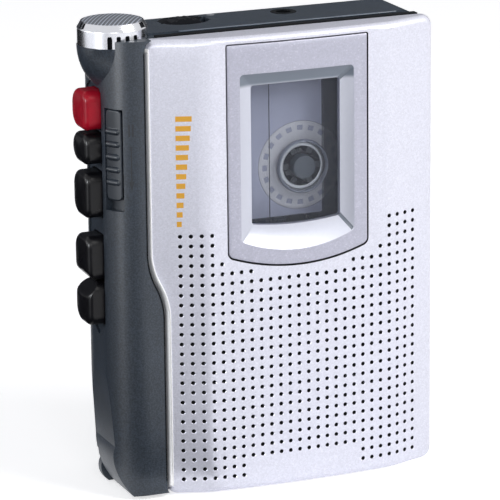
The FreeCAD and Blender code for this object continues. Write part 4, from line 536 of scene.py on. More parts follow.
def chrome(look):
    """Bright chrome: near mirror, with a breath of haze and faint polishing lines."""
    made = Finish("chrome")
    polish = made.noise(0.3 * MM, 3, 0.6, (1, 1, 9))
    breath = made.noise(4 * MM, 3)
    return made.close(
        Base_Color=made.between(breath * 0.7 + polish * 0.3, look.chrome, 0.92, 1.06),
        Metallic=1.0,
        Roughness=0.19 + breath * 0.01,
    )


class RecorderColours(bpy.types.PropertyGroup):
    """Colours of the recorder's finishes."""

    case: tint("Case", "Dark blue-grey plastic of the case", (0.031, 0.042, 0.059))
    lid: tint("Lid", "Silver lacquer of the lid", (0.69, 0.7, 0.8))
    trim: tint("Window trim", "Darker silver of the window trim", (0.45, 0.455, 0.55))
    pane: tint("Pane", "Veil of the clear pane", (0.3, 0.32, 0.39))
    red: tint("Record key", "Red of the record key", (0.46, 0.005, 0.022))
    black: tint("Keys", "Black of the other keys", (0.006, 0.006, 0.008))
    chrome: tint("Chrome", "Chrome of the microphone cap", (0.64, 0.65, 0.69))
    mesh: tint("Gauze", "Wire gauze of the microphone", (0.27, 0.29, 0.335))
    steel: tint("Steel", "Plated steel of the works", (0.58, 0.58, 0.6))
    brass: tint("Brass", "Turned brass of the flywheel and pulley", (0.66, 0.5, 0.24))
    rubber: tint("Rubber", "Rubber of rollers, belt and cup", (0.02, 0.02, 0.021))
    white: tint("White nylon", "White nylon of hubs and rollers", (0.74, 0.75, 0.8))
    ink: tint("Black nylon", "Black nylon of the works", (0.03, 0.032, 0.036))
    smoke: tint("Smoky plastic", "Cassette shell", (0.024, 0.029, 0.038))
    tape: tint("Tape", "Coated film", (0.07, 0.045, 0.032))
    board: tint("Board", "Resin of the circuit board", (0.02, 0.1, 0.04))
    cone: tint("Cone", "Paper of the speaker", (0.02, 0.02, 0.02))
    cell: tint("Cells", "Jacket of the dry cells", (0.5, 0.36, 0.1))
    cell_head: tint("Cell heads", "Upper part of that jacket", (0.02, 0.02, 0.022))
    lamp: tint("Lamp", "Unlit lamp", (0.42, 0.44, 0.48))
    bezel: tint("Bezel", "Plating of the window's slope", (0.57, 0.59, 0.68))
    # Painted shade: this darker tone is painted on the slope's upper side and right corners.
    painted_bezel_shade: tint("Bezel painted shade", "Plating of the slope's upper side and corners", (0.17, 0.2, 0.25))
    label: tint("Label", "Grey film of the cassette's label", (0.42, 0.43, 0.55))
    mark: tint("Marks", "Orange level bars on the lid", (0.83, 0.42, 0.03))
    floor: tint("Floor", "Pale floor", (0.82, 0.82, 0.83))


class RecorderStage(bpy.types.PropertyGroup):
    """Camera and light."""

    azimuth: angle("Camera azimuth", "How far the camera stands to the left of the front", 22.095)
    elevation: angle("Camera elevation", "How far the camera looks down", 15.230)
    roll: angle("Camera roll", "Turn of the picture about the line of sight", -0.6085)
    lens: bpy.props.FloatProperty(
        name="Focal length",
        description="Focal length on a 36 mm frame, in millimetres",
        default=260.4,
        min=1.0,
    )
    stand: bpy.props.FloatVectorProperty(
        name="Camera place",
        description="Where the camera stands",
        subtype="TRANSLATION",
        unit="LENGTH",
        default=(-0.32275, -0.7972, 0.2899),
    )
    floor_glow: amount("Floor glow", "How much the camera sees the floor whitened", 0.62)
    lamp_level: amount("Lamp level", "Strength of the four lamps together", 1.0)
    soft_light: amount("Soft light", "Strength of the light that comes from all round", 0.33)


def slot_finishes(look, sizes, microphone):
    """The material of each slot in the record, and of two nodes that differ from their slot's."""
    return {
        "case_plastic": case_plastic(look),
        "lid_silver": sparkle_lacquer("lid_silver", look.lid),
        "trim_silver": sparkle_lacquer("trim_silver", look.trim),
        "clear_pane": clear_acrylic(look),
        "record_red": gloss_plastic("record_red", look.red, 0.26, 0.22),
        "key_black": gloss_plastic("key_black", look.black, 0.24, 0.25),
        "mic_chrome": chrome(look),
        "mesh_metal": wire_mesh(look, microphone),
        "steel": plated("steel", look.steel),
        "spring_steel": plated("spring_steel", shade(look.steel, 1.2), 0.2, (9, 1, 1)),
        "flywheel_metal": turned_metal("flywheel_metal", look.brass),
        "rubber_black": rubber("rubber_black", look.rubber),
        "nylon_white": nylon("nylon_white", look.white, 0.3),
        "nylon_black": nylon("nylon_black", look.ink),
        "cassette_smoke": smoke_shell(look, sizes),
        "tape_brown": coated_film(look),
        "board_green": resin_board(look),
        "cone_paper": cone_paper(look),
        "cell_jacket": cell_jacket(look),
        "lamp_clear": lamp_plastic(look),
        "volume_wheel": rubber("wheel_black", (0.006, 0.007, 0.01), 0.2),
        "plug_sockets": rubber("socket_black", (0.004, 0.005, 0.007), 0.15),
    }


def piece_finishes(look):
    """The materials that only pieces made here use."""
    bezel_plating(look)
    rubber("lid_inside", (0.012, 0.012, 0.014))
    # Black felt: real for the dust cloth and the socket's ring; painted shade for the strips by the
    # lid, the scoop and the cap's slots.
    rubber("felt", (0.005, 0.006, 0.008), 0.12)
    # Painted highlight: the bead takes a copy of the lid's lacquer made half as bright again.
    sparkle_lacquer("bead_painted_highlight", shade(look.lid, 1.5))
    # Painted shade: the pause slide takes a darker copy of the case plastic.
    gloss_plastic("slider_painted_shade", shade(look.case, 0.72), 0.36, 0.4)
    # Painted highlight: the rib along the top takes a copy of the case plastic 2.6 times as light.
    gloss_plastic("painted_rib_highlight", shade(look.case, 2.6), 0.25)
    # Dark finish painted on the right corners of the window's slope: painted shade.
    gloss_plastic("bezel_corner", look.painted_bezel_shade)
    gloss_plastic("dark_lip", shade(look.pane, 0.9), 0.2)
    printed_ink("orange_ink", look.mark)
    printed_ink("pale_ink", shade(look.case, 0.4))
    nylon("inner_sheet", shade(look.label, 1.5))
    nylon("hub_dial", (0.96, 0.93, 1.0))
    nylon("hub_notch", shade(look.label, 1.15))
    # Near-black hubs: painted shade of the bore inside the shell's hole.
    nylon("hub_core", (0.012, 0.016, 0.02))
    nylon("spindle_cap", (0.075, 0.09, 0.11))
    plated("clear_lip", shade(look.chrome, 0.6), 0.3, (1, 1, 1))


class RECORDER_OT_finishes(bpy.types.Operator):
    """Makes a finish for every slot and gives each construction node its own"""

    bl_idname = "recorder.finishes"
    bl_label = "Finishes"

    def execute(self, context):
        scene = context.scene
        look = scene.recorder_colours
        made = slot_finishes(look, scene.recorder_cassette, scene.recorder_microphone)
        piece_finishes(look)
        for part in frame["record"]["subparts"]:
            node = frame["nodes"][part["node"]]
            node.data.materials.clear()
            node.data.materials.append(made.get(part["node"]) or made[part["material_slot"]])
        return {"FINISHED"}


def softbox(name, place, size, watts, colour=(1, 1, 1)):
    """An area lamp of size metres that looks from place at the recorder."""
    lamp = bpy.data.lights.new(name, "AREA")
    lamp.shape = "RECTANGLE"
    lamp.size, lamp.size_y = size
    lamp.energy = watts
    lamp.color = colour
    holder = bpy.data.objects.new(name, lamp)
    holder.location = place
    holder.rotation_euler = (Vector(LAMP_AIM) - Vector(place)).to_track_quat("-Z", "Y").to_euler()
    bpy.context.scene.collection.objects.link(holder)
    return holder


def stage_surface(name, points, faces, material):
    """A mesh that belongs to the stage and isn't handed on."""
    mesh = bpy.data.meshes.new(name)
    mesh.from_pydata(points, [], faces)
    mesh.materials.append(material)
    surface = bpy.data.objects.new(name, mesh)
    bpy.context.scene.collection.objects.link(surface)
    return surface


class RECORDER_OT_stage(bpy.types.Operator):
    """Lays the floor, hangs the lights and stands the camera where the picture was taken"""

    bl_idname = "recorder.stage"
    bl_label = "Stage"

    def execute(self, context):
        scene = context.scene
        stage = scene.recorder_stage
        self.floor(scene.recorder_colours.floor, stage.floor_glow)
        self.world(scene, stage)
        self.lamps(stage)
        self.cards()
        self.camera(scene, stage)
        scene.view_settings.view_transform = "Standard"
        return {"FINISHED"}

    def floor(self, colour, whitening):
        """A floor nearly five metres wide whose back rises in a quarter round."""
        reach, bend, half = 1.6, 0.8, 2.4
        level, turn = np.linspace(-reach, reach, 9), np.linspace(0.1, math.pi / 2, 14)
        along = np.concatenate([level, reach + bend * np.sin(turn)])
        rise = np.concatenate([np.zeros(9), bend * (1 - np.cos(turn))]) + cad_low.z
        x, y = np.meshgrid(np.linspace(-half, half, 9), along)
        surface = grid(np.stack([x, y, np.broadcast_to(rise[:, None], x.shape)], axis=2))
        made = Finish("floor")
        matt = {"Color": made.between(made.noise(0.05, 2), colour, 1, 1.03)}
        glow = {"Color": (1, 1, 1, 1), "Strength": made.seen_directly() * whitening}
        shaders = {
            0: made.node("ShaderNodeBsdfDiffuse", None, matt),
            1: made.node("ShaderNodeEmission", None, glow),
        }
        made.output(made.node("ShaderNodeAddShader", None, shaders))
        faces = [face.tolist() for face in surface.faces]
        floor = stage_surface("floor", surface.points.tolist(), faces, made.material)
        floor.data.shade_smooth()

    def world(self, scene, stage):
        """An even pale surround; what the camera and clear pieces see of it is white."""
        made = Finish("surround", bpy.data.worlds)
        soft = {"Color": (0.94, 0.95, 1, 1), "Strength": stage.soft_light}
        shaders = {
            0: made.seen_directly(),
            1: made.node("ShaderNodeBackground", None, soft),
            2: made.node("ShaderNodeBackground", None, {"Color": (1, 1, 1, 1), "Strength": 1.0}),
        }
        mixed = made.node("ShaderNodeMixShader", None, shaders)
        scene.world = made.output(mixed, "ShaderNodeOutputWorld")

    def lamps(self, stage):
        """Boxes above to the right, at the front and left, and a strip that gives only sheen."""
        level = stage.lamp_level
        softbox("key_light", (0.32, -0.37, 0.44), (0.3, 0.3), 2.4 * level, (1, 0.985, 0.95))
        softbox("front_light", (-0.3, -1.15, 0.5), (0.5, 0.5), 2.85 * level)
        softbox("left_light", (-0.9, 0.22, 0.26), (0.3, 0.3), 2.1 * level, (0.95, 0.97, 1))
        sheen = softbox("side_light", (-0.77, -0.36, 0.2), (0.09, 0.3), 7 * level, (0.93, 0.96, 1))
        sheen.visible_diffuse = False

    def card_cloth(self, name, colour):
        """Matt cloth of one tone, a little uneven."""
        made = Finish(name)
        tone = made.between(made.noise(0.02, 2), colour, 0.7, 1.3)
        return made.output(made.node("ShaderNodeBsdfDiffuse", None, {"Color": tone}))

    def cards(self):
        """Dark cards that only reflections see, as black flags in a studio."""
        black = self.card_cloth("dark_card", (0.015, 0.015, 0.018))
        grey = self.card_cloth("grey_card", (0.09, 0.095, 0.105))
        for name, corners in CARDS.items():
            cloth = grey if name == "rear_card" else black
            card = stage_surface(name, corners, [(0, 1, 2, 3)], cloth)
            card.visible_camera = card.visible_shadow = card.visible_transmission = False
            card.visible_diffuse = name == "front_card"

    def camera(self, scene, stage):
        """A long lens; its axes come from azimuth, elevation and roll."""
        a, e, roll = stage.azimuth, stage.elevation, stage.roll
        ahead = Vector((math.sin(a) * math.cos(e), math.cos(a) * math.cos(e), -math.sin(e)))
        right = Vector((math.cos(a), -math.sin(a), 0))
        up = right.cross(ahead)
        turned_right = right * math.cos(roll) + up * math.sin(roll)
        turned_up = up * math.cos(roll) - right * math.sin(roll)
        lens = bpy.data.cameras.new("camera")
        lens.lens = stage.lens
        lens.sensor_width = 36
        lens.clip_start, lens.clip_end = 0.05, 20
        holder = bpy.data.objects.new("camera", lens)
        turn = Matrix((turned_right, turned_up, -ahead)).transposed()
        holder.matrix_world = Matrix.Translation(stage.stand) @ turn.to_4x4()
        scene.collection.objects.link(holder)
        scene.camera = holder


class RecorderSizes(bpy.types.PropertyGroup):
    """Sizes of the lid, its grille and its window."""

    hole_pitch: length("Hole pitch", "Distance between the grille's holes", 2.45)
    hole_radius: length("Hole radius", "Radius of a grille hole", 0.5)
    hole_bevel: length("Hole bevel", "Width of the broken edge of a hole", 0.1)
    lid_wall: length("Lid wall", "Thickness of the lid", 1.6)
    lid_rim: length("Lid rim", "Radius of the lid's outer edge", 1.5)
    lid_corner: length("Lid corner", "Radius of the lid's corners", 2.6)
    lid_back: length("Lid back", "Where the lid's side walls end", -10.8)
    low_left: length("Lower left edge", "Left edge of the lid beside the grip", -27.05)
    sweep_top: length("Sweep top", "Where the left edge starts to swing in", 61.8)
    sweep_bottom: length("Sweep bottom", "Where the left edge is straight again", 45.2)
    ridge: length("Ridge", "Upright middle line of the lid", 7.25)
    curve_radius: length("Front radius", "Radius of the lid's bowed front", 266)
    crease: length("Crease", "Half the width of the bowed front", 24)
    flank_slope: amount("Flank slope", "Fall of the flanks for each unit across", 0.35)
    shelf: length("Shelf", "Height of the sloped band under the top edge", 2.2)
    shelf_slope: amount("Shelf slope", "Fall of that band for each unit upwards", 0.14)
    dish_depth: length("Dish depth", "How far the lid dips towards the window trim", 0.45)
    dish_reach: length("Dish reach", "How far from the trim the dip starts", 5)
    barrel_foot: length("Barrel foot", "Lower end of the hinge barrel", 7)
    barrel_head: length("Barrel head", "Upper end of the hinge barrel", 106.6)
    barrel_radius: length("Barrel radius", "Radius of the hinge barrel", 1.7)
    trim_left: length("Trim left", "Left edge of the window trim", -11.75)
    trim_right: length("Trim right", "Right edge of the window trim", 24.65)
    trim_top: length("Trim top", "Top edge of the window trim", 111.5)
    trim_foot: length("Trim foot", "Height of the trim's lower corners", 59.6)
    trim_curve: length("Trim curve", "Radius of the trim's lower edge", 51.8)
    trim_corner: length("Trim corner", "Radius of the trim's lower corners", 1.6)
    trim_head: length("Trim head corner", "Radius of the trim's upper corners", 0.3)
    trim_soft: length("Trim edge", "Radius of the trim's edges", 0.25)
    bezel_left: length("Bezel left", "Left edge of the bezel", -8.45)
    bezel_right: length("Bezel right", "Right edge of the bezel", 20.95)
    bezel_top: length("Bezel top", "Top edge of the bezel", 104.1)
    bezel_foot: length("Bezel foot", "Height of the bezel's lower corners", 63.2)
    bezel_curve: length("Bezel curve", "Radius of the bezel's lower edge", 36)
    bezel_corner: length("Bezel corner", "Radius of the bezel's corners", 0.9)
    pane_left: length("Pane left", "Left edge of the pane", -5.35)
    pane_right: length("Pane right", "Right edge of the pane", 17.85)
    pane_top: length("Pane top", "Top edge of the pane", 101.1)
    pane_foot: length("Pane foot", "Height of the pane's lower corners", 66.9)
    pane_curve: length("Pane curve", "Radius of the pane's lower edge", 75)
    pane_corner: length("Pane corner", "Radius of the pane's corners", 0.7)
    pane_front: length("Pane front", "Depth of the pane's face", -16.7)
    grid_x: length("Grille middle", "Middle of the grille across", 7.25)
    grid_z: length("Grille height", "Middle of the grille upwards", 34.8)
    grid_count: bpy.props.IntProperty(
        name="Grille count", description="Holes along each side of the grille", default=26
    )


class Shape:
    """Points in metres with faces that name them; shapes can be added."""

    def __init__(self, points, faces, tones=None):
        self.points = np.asarray(points, float).reshape(-1, 3)
        self.faces = faces
        self.tones = np.zeros(len(faces), int) if tones is None else np.asarray(tones)

    def __add__(self, other):
        moved = [face + len(self.points) for face in other.faces]
        return Shape(
            np.concatenate([self.points, other.points]),
            [*self.faces, *moved],
            np.concatenate([self.tones, other.tones]),
        )

    def flipped(self):
        """The same faces seen from behind."""
        return Shape(self.points, [face[::-1] for face in self.faces], self.tones)

    def toned(self, tone):
        """The same faces in another of the piece's finishes."""
        return Shape(self.points, self.faces, np.full(len(self.faces), tone))


def joined(shapes):
    """Several shapes as one."""
    whole, *others = shapes
    for other in others:
        whole = whole + other
    return whole


def grid(points, round_u=False, round_v=False):
    """Quads between the neighbours of a grid of points; a round way joins its first and last row
    (u) or column (v)."""
    points = np.asarray(points, float)
    rows, columns = points.shape[:2]
    number = np.arange(rows * columns).reshape(rows, columns)
    if round_u:
        number = np.concatenate([number, number[:1]], axis=0)
    if round_v:
        number = np.concatenate([number, number[:, :1]], axis=1)
    quads = np.stack([number[:-1, :-1], number[:-1, 1:], number[1:, 1:], number[1:, :-1]], axis=2)
    return Shape(points.reshape(-1, 3), list(quads.reshape(-1, 4)))


def cap(loop, flip=False):
    """A fan from the middle of a closed loop of points to each of its sides."""
    loop = np.asarray(loop, float)
    count = len(loop)
    side = np.arange(count)
    fan = np.stack([side, np.roll(side, -1), np.full(count, count)], axis=1)
    made = Shape(np.concatenate([loop, loop.mean(axis=0)[None]]), list(fan))
    return made.flipped() if flip else made


def tube(rings):
    """A closed form: neighbouring loops joined by quads, and a fan over the first and the last."""
    rings = np.asarray(rings, float)
    return grid(rings, round_v=True) + cap(rings[0], True) + cap(rings[-1])


def sheet(top, bottom):
    """Two grids of points with the same rows and columns, joined round their edges."""
    edges = []
    for side in (np.asarray(top), np.asarray(bottom)):
        edges.append(np.concatenate([side[0], side[1:, -1], side[-1, -2::-1], side[-2:0:-1, 0]]))
    return grid(top) + grid(bottom).flipped() + grid(edges, round_v=True)


def piece(name, shape, body, slot, finishes=(), sharp=35, replaces=(), closed=True):
    """One mesh object at the origin from a shape: doubles merged, smooth but for edges over sharp
    degrees, the faces of a closed form turned outwards, and the slot's finish or those named."""
    mesh = bpy.data.meshes.new(name)
    mesh.from_pydata(shape.points.tolist(), [], [face.tolist() for face in shape.faces])
    mesh.polygons.foreach_set("material_index", shape.tones.astype(np.int32))
    work = bmesh.new()
    work.from_mesh(mesh)
    bmesh.ops.remove_doubles(work, verts=work.verts, dist=WELD)
    if closed:
        bmesh.ops.recalc_face_normals(work, faces=work.faces)
    work.to_mesh(mesh)
    work.free()
    mesh.shade_smooth()
    mesh.set_sharp_from_angle(angle=math.radians(sharp))
    for each in finishes or [slot]:
        mesh.materials.append(finish(each))
    made = bpy.data.objects.new(name, mesh)
    bpy.context.scene.collection.objects.link(made)
    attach(made, body)
    if replaces:
        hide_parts(*replaces)
    return made


def circle(count):
    """Angles of evenly spaced points round a circle."""
    return np.arange(count) * 2 * math.pi / count


def circle_sides(radius, count=12):
    """A circle's corners round the origin, anticlockwise."""
    turn = circle(count)
    return radius * np.stack([np.cos(turn), np.sin(turn)], axis=1)


def arc(centre, radius, start, end, steps):
    """Points on a circle from one angle to another, in degrees."""
    turn = np.radians(np.linspace(start, end, steps + 1))
    return np.stack([centre[0] + radius * np.cos(turn), centre[1] + radius * np.sin(turn)], axis=1)


def line(start, end, steps):
    """Evenly spaced points from start up to but not with end."""
    share = np.arange(steps)[:, None] / steps
    return np.asarray(start) * (1 - share) + np.asarray(end) * share


def level(loop, height, axis):
    """A flat loop as points at one height along an axis, 0 for X, 1 for Y and 2 for Z."""
    return np.insert(loop, axis, height, axis=1)


def turned(centre, radii, along, turn, axis=2):
    """Points at a radius and an angle round an axis, 1 for Y and 2 for Z, and at a place along it:
    centre + radius (cos t, sin t). Columns of radii and places with a row of angles make a grid."""
    across, aside = centre[0] + radii * np.cos(turn), centre[1] + radii * np.sin(turn)
    across, aside, along = np.broadcast_arrays(across, aside, along)
    return np.stack([across, along, aside] if axis == 1 else [across, aside, along], axis=-1)


def domed_ring(centre, middle, half, face, bulge, foot, axis=1, steps=10, count=96):
    """Half an ellipse, twice half wide and bulge high, turned about an axis and closed at foot."""
    swing = np.linspace(0, math.pi, steps)
    radii = np.concatenate([middle + half * np.cos(swing), [middle - half, middle + half]])
    along = np.concatenate([face + bulge * np.sin(swing), [foot, foot]])
    points = turned(centre, radii[:, None], along[:, None], circle(count), axis)
    return grid(points, round_u=True, round_v=True)


def outward(loop):
    """Unit normals of a closed anticlockwise loop: its tangent turned a quarter turn clockwise."""
    along = np.roll(loop, -1, axis=0) - np.roll(loop, 1, axis=0)
    along /= np.linalg.norm(along, axis=1)[:, None]
    return np.stack([along[:, 1], -along[:, 0]], axis=1)


def inside(points, loop):
    """Which points lie in a closed loop: a line to the right crosses it an odd number of times."""
    x, z = points[:, :1], points[:, 1:]
    x1, z1 = loop[:, 0], loop[:, 1]
    x2, z2 = np.roll(x1, -1), np.roll(z1, -1)
    spans = (z1 > z) != (z2 > z)
    crossing = x1 + (z - z1) / np.where(z2 == z1, 1, z2 - z1) * (x2 - x1)
    return (spans & (x < crossing)).sum(axis=1) % 2 == 1


def nearest(points, others):
    """Distance from each point to the nearest of the others."""
    return np.min(np.linalg.norm(points[:, None] - others[None], axis=2), axis=1)


def ring_links(start, count):
    """Pairs of neighbours round a closed loop."""
    here = np.arange(count)
    return start + np.stack([here, np.roll(here, -1)], axis=1)


def run_links(start, count):
    """Pairs of neighbours along an open line."""
    here = start + np.arange(count - 1)
    return np.stack([here, here + 1], axis=1)


class Lid:
    """The lid's outline and the height of its front."""

    def __init__(self, sizes):
        self.sizes = sizes
        self.low, self.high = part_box("lid_cover")

    def left_edge(self, z):
        """Two equal arcs that meet midway swing the left edge from its upper to its lower place."""
        s = self.sizes
        shift = s.low_left - self.low.x
        run = s.sweep_top - s.sweep_bottom
        radius = (shift**2 + run**2) / (4 * shift)
        down = np.clip(s.sweep_top - z, 0, run)
        upper = radius - np.sqrt(radius**2 - np.minimum(down, run / 2) ** 2)
        lower = shift - radius + np.sqrt(radius**2 - np.minimum(run - down, run / 2) ** 2)
        return self.low.x + np.where(down < run / 2, upper, lower)

    def outline(self):
        """Anticlockwise loop round the front: sides, four corner arcs and the swept left edge."""
        s = self.sizes
        r = s.lid_corner
        x1, z0, z1 = self.high.x, self.low.z, self.high.z
        across = round((x1 - s.low_left) / s.hole_pitch)
        tall = round((z1 - z0) / s.hole_pitch)
        down = np.linspace(z1 - r, z0 + r, 2 * tall)[1:-1]
        return np.concatenate(
            [
                line((s.low_left + r, z0), (x1 - r, z0), across),
                arc((x1 - r, z0 + r), r, -90, 0, 8)[:-1],
                line((x1, z0 + r), (x1, z1 - r), tall),
                arc((x1 - r, z1 - r), r, 0, 90, 8)[:-1],
                line((x1 - r, z1), (self.low.x + r, z1), across),
                arc((self.low.x + r, z1 - r), r, 90, 180, 8),
                np.stack([self.left_edge(down), down], axis=1),
                arc((s.low_left + r, z0 + r), r, 180, 270, 8)[:-1],
            ]
        )

    def left_run(self, lowest, headroom):
        """Points and normals of the outline along the grip, up to headroom from the top."""
        loop = self.outline()
        beside = loop[:, 0] < self.sizes.low_left + 0.4 * MM
        kept = beside & (loop[:, 1] > lowest) & (loop[:, 1] < self.high.z - headroom)
        return loop[kept], outward(loop)[kept]

    def trim_gap(self, x, z):
        """Distance from the window trim, that of a box whose lower side is a shallow arc. Above the
        trim it counts four times, so that the dip ends before the lid's top edge."""
        s = self.sizes
        middle, half = (s.trim_left + s.trim_right) / 2, (s.trim_right - s.trim_left) / 2
        off = np.minimum(np.abs(x - middle), half)
        centre = s.trim_foot + np.sqrt(s.trim_curve**2 - half**2)
        arc_foot = centre - np.sqrt(s.trim_curve**2 - off**2)
        side = np.abs(x - middle) - half
        above = (z - s.trim_top) * 4
        upright = np.maximum(above, arc_foot - z)
        apart = np.hypot(np.maximum(side, 0), np.maximum(upright, 0))
        return apart + np.minimum(np.maximum(side, upright), 0)

    def front(self, x, z):
        """Depth of the face: a wide arc across, flat flanks past the creases, a band that slopes
        back under the top edge, and a dip that eases in towards the window trim."""
        s = self.sizes
        off = np.abs(x - s.ridge)
        bow = s.curve_radius - np.sqrt(s.curve_radius**2 - np.minimum(off, s.crease) ** 2)
        flank = np.maximum(off - s.crease, 0) * s.flank_slope
        band = np.maximum(z - (self.high.z - s.shelf), 0) * s.shelf_slope
        near = 1 - np.clip(self.trim_gap(x, z) / s.dish_reach, 0, 1)
        dip = s.dish_depth * near**2 * (3 - 2 * near)
        return self.low.y + bow + flank + band + dip

    def on_front(self, flat, behind=0.0):
        """Points of the front plane laid on the face, or behind it."""
        x, z = flat[..., 0], flat[..., 1]
        return np.stack([x, self.front(x, z) + behind, z], axis=-1)


def window_loop(left, right, top, foot, curve, corner, head_corner, steps=18):
    """Anticlockwise window outline: straight top and sides, a shallow arc below, rounded corners.
    Every loop made so has the same number of points on each side."""
    half = (right - left) / 2
    middle = (left + right) / 2
    centre = foot + math.sqrt(curve**2 - half**2)
    swing = math.degrees(math.asin((half - corner) / (curve - corner)))
    low_z = centre - math.sqrt((curve - corner) ** 2 - (half - corner) ** 2)
    h = head_corner
    return np.concatenate(
        [
            arc((middle, centre), curve, 270 - swing, 270 + swing, steps)[:-1],
            arc((right - corner, low_z), corner, swing - 90, 0, 6)[:-1],
            line((right, low_z), (right, top - h), steps),
            arc((right - h, top - h), h, 0, 90, 6)[:-1],
            line((right - h, top), (left + h, top), steps),
            arc((left + h, top - h), h, 90, 180, 6)[:-1],
            line((left, top - h), (left, low_z), steps),
            arc((left + corner, low_z), corner, 180, 270 - swing, 6)[:-1],
        ]
    )


def trim_loop(s, grow=0.0):
    """Outline of the window trim, grown outwards."""
    return window_loop(
        s.trim_left - grow,
        s.trim_right + grow,
        s.trim_top + grow,
        s.trim_foot - grow,
        s.trim_curve + grow,
        s.trim_corner + grow,
        s.trim_head + grow,
    )


def hole_places(s):
    """Middles of the grille's holes: every cell of the square grid but those that the trim and the
    bare stretch along the foot take."""
    count = s.grid_count
    column, row = np.meshgrid(np.arange(count), np.arange(count))
    mirrored = np.minimum(column, count - 1 - column)
    first = np.select([mirrored < 4, mirrored < 5, mirrored < 8], [0, 3, 4], 5)
    bare_foot = (row > 23) & (column > 6) & (column < 19)
    kept = (row >= first) & ~bare_foot
    x = s.grid_x + (column - (count - 1) / 2) * s.hole_pitch
    z = s.grid_z - (row - (count - 1) / 2) * s.hole_pitch
    return np.stack([x[kept], z[kept]], axis=1)


class RECORDER_OT_lid(bpy.types.Operator):
    """Makes the lid's perforated shell and the dust cloth behind its holes"""

    bl_idname = "recorder.lid"
    bl_label = "Lid"

    def execute(self, context):
        lid = Lid(context.scene.recorder_sizes)
        holes = hole_places(lid.sizes)
        front = [self.face(lid, holes), self.hole_walls(lid, holes)]
        shell = joined([*front, self.rim(lid), self.opening(lid), self.barrel(lid)])
        finishes = ["lid_silver", "lid_inside"]
        piece("lid_shell", shell, "lid", "lid_silver", finishes, 28, ["lid_cover"], closed=False)
        piece("dust_cloth", self.cloth(lid), "lid", "rubber_black", ["felt"], closed=False)
        return {"FINISHED"}

    def face(self, lid, holes):
        """Front and inner face: the flat outline, the trim's opening, the holes, the creases and a
        filling of free points are joined by triangles, and every point is laid on the front."""
        s = lid.sizes
        loop = lid.outline()
        edge = loop - outward(loop) * s.lid_wall
        trim = trim_loop(s, OPENING_GAP)
        rings = holes[:, None] + circle_sides(s.hole_radius + s.hole_bevel)[None]
        crease_x = s.ridge + s.crease * np.array([-1, 1])
        crease_z = np.linspace(edge[:, 1].min(), edge[:, 1].max(), 60)
        creases = [np.stack([np.full(60, x), crease_z], axis=1) for x in crease_x]
        sets = [edge, trim, rings.reshape(-1, 2), *creases, self.filling(lid, holes, crease_x)]
        starts = np.cumsum([0] + [len(group) for group in sets])
        first_hole = starts[2] + np.arange(len(holes))[:, None, None] * rings.shape[1]
        links = [
            ring_links(starts[0], len(edge)),
            ring_links(starts[1], len(trim)),
            (first_hole + ring_links(0, rings.shape[1])).reshape(-1, 2),
            run_links(starts[3], 60),
            run_links(starts[4], 60),
        ]
        points, links = np.concatenate(sets).tolist(), np.concatenate(links).tolist()
        made = delaunay_2d_cdt(points, links, [], 0, 1e-7)
        flat = np.array([tuple(point) for point in made[0]])
        faces = np.array(made[2])
        middle = flat[faces].mean(axis=1)
        solid = nearest(middle, holes) > s.hole_radius + 0.5 * s.hole_bevel
        faces = faces[inside(middle, edge) & ~inside(middle, trim) & solid]
        corner = flat[faces]
        turn = np.cross(corner[:, 1] - corner[:, 0], corner[:, 2] - corner[:, 0])
        faces = list(np.where((turn > 0)[:, None], faces, faces[:, ::-1]))
        back = Shape(lid.on_front(flat, s.lid_wall), faces).flipped().toned(1)
        return Shape(lid.on_front(flat), faces) + back

    def filling(self, lid, holes, crease_x):
        """A lattice between the holes and loops round the trim, clear of every line of the face."""
        s = lid.sizes
        step = s.hole_pitch
        first_x = s.grid_x - step * (s.grid_count / 2 + 2)
        first_z = s.grid_z - step * (s.grid_count / 2 + 1)
        lattice = np.stack(
            np.meshgrid(first_x + step * np.arange(32), first_z + step * np.arange(48)), axis=2
        )
        loops = [trim_loop(s, grow * MM)[::2] for grow in (1.2, 2.4, 3.6, 4.8)]
        points = np.concatenate([lattice.reshape(-1, 2), *loops])
        loop = lid.outline()
        clear = 0.7 * MM
        within = inside(points, loop - outward(loop) * (s.lid_wall + clear))
        without = ~inside(points, trim_loop(s, clear)) & (nearest(points, holes) >= 1.0 * MM)
        uncreased = np.min(np.abs(points[:, :1] - crease_x), axis=1) >= clear
        return points[within & without & uncreased]

    def hole_walls(self, lid, holes):
        """Each hole is a ring of twelve sides carried back: broken edge, wall, broken edge."""
        s = lid.sizes
        wide, bore = s.hole_radius + s.hole_bevel, s.hole_radius
        depths = np.array([0, s.hole_bevel, s.lid_wall - s.hole_bevel, s.lid_wall])
        radii = np.array([wide, bore, bore, wide])
        flat = holes[:, None, None] + radii[None, :, None, None] * circle_sides(1.0)[None, None]
        points = lid.on_front(flat, depths[None, :, None])
        walls, around = points.shape[0], points.shape[2]
        number = np.arange(points[..., 0].size).reshape(walls, 4, around)
        ahead = np.roll(number, -1, axis=2)
        quads = np.stack([number[:, 1:], ahead[:, 1:], ahead[:, :-1], number[:, :-1]], axis=3)
        tones = np.broadcast_to(np.array([0, 1, 1])[None, :, None], (walls, 3, around)).ravel()
        return Shape(points.reshape(-1, 3), list(quads.reshape(-1, 4)), tones)

    def rim(self, lid):
        """The outline carried back: quarter-round edge, outer wall, its end and inner wall."""
        s = lid.sizes
        loop = lid.outline()
        normal = outward(loop)
        inner = loop - normal * s.lid_wall
        turn = np.radians([90, 70, 50, 30, 12, 0])
        inset, drop = s.lid_rim * (1 - np.cos(turn)), s.lid_rim * (1 - np.sin(turn))
        rings = [lid.on_front(inner)]
        rings += [lid.on_front(loop - normal * back, lower) for back, lower in zip(inset, drop)]
        rings += [level(loop, s.lid_back, 1), level(inner, s.lid_back, 1)]
        rings.append(lid.on_front(inner, s.lid_wall))
        made = grid(rings, round_v=True)
        made.tones[-2 * len(loop) :] = 1
        return made

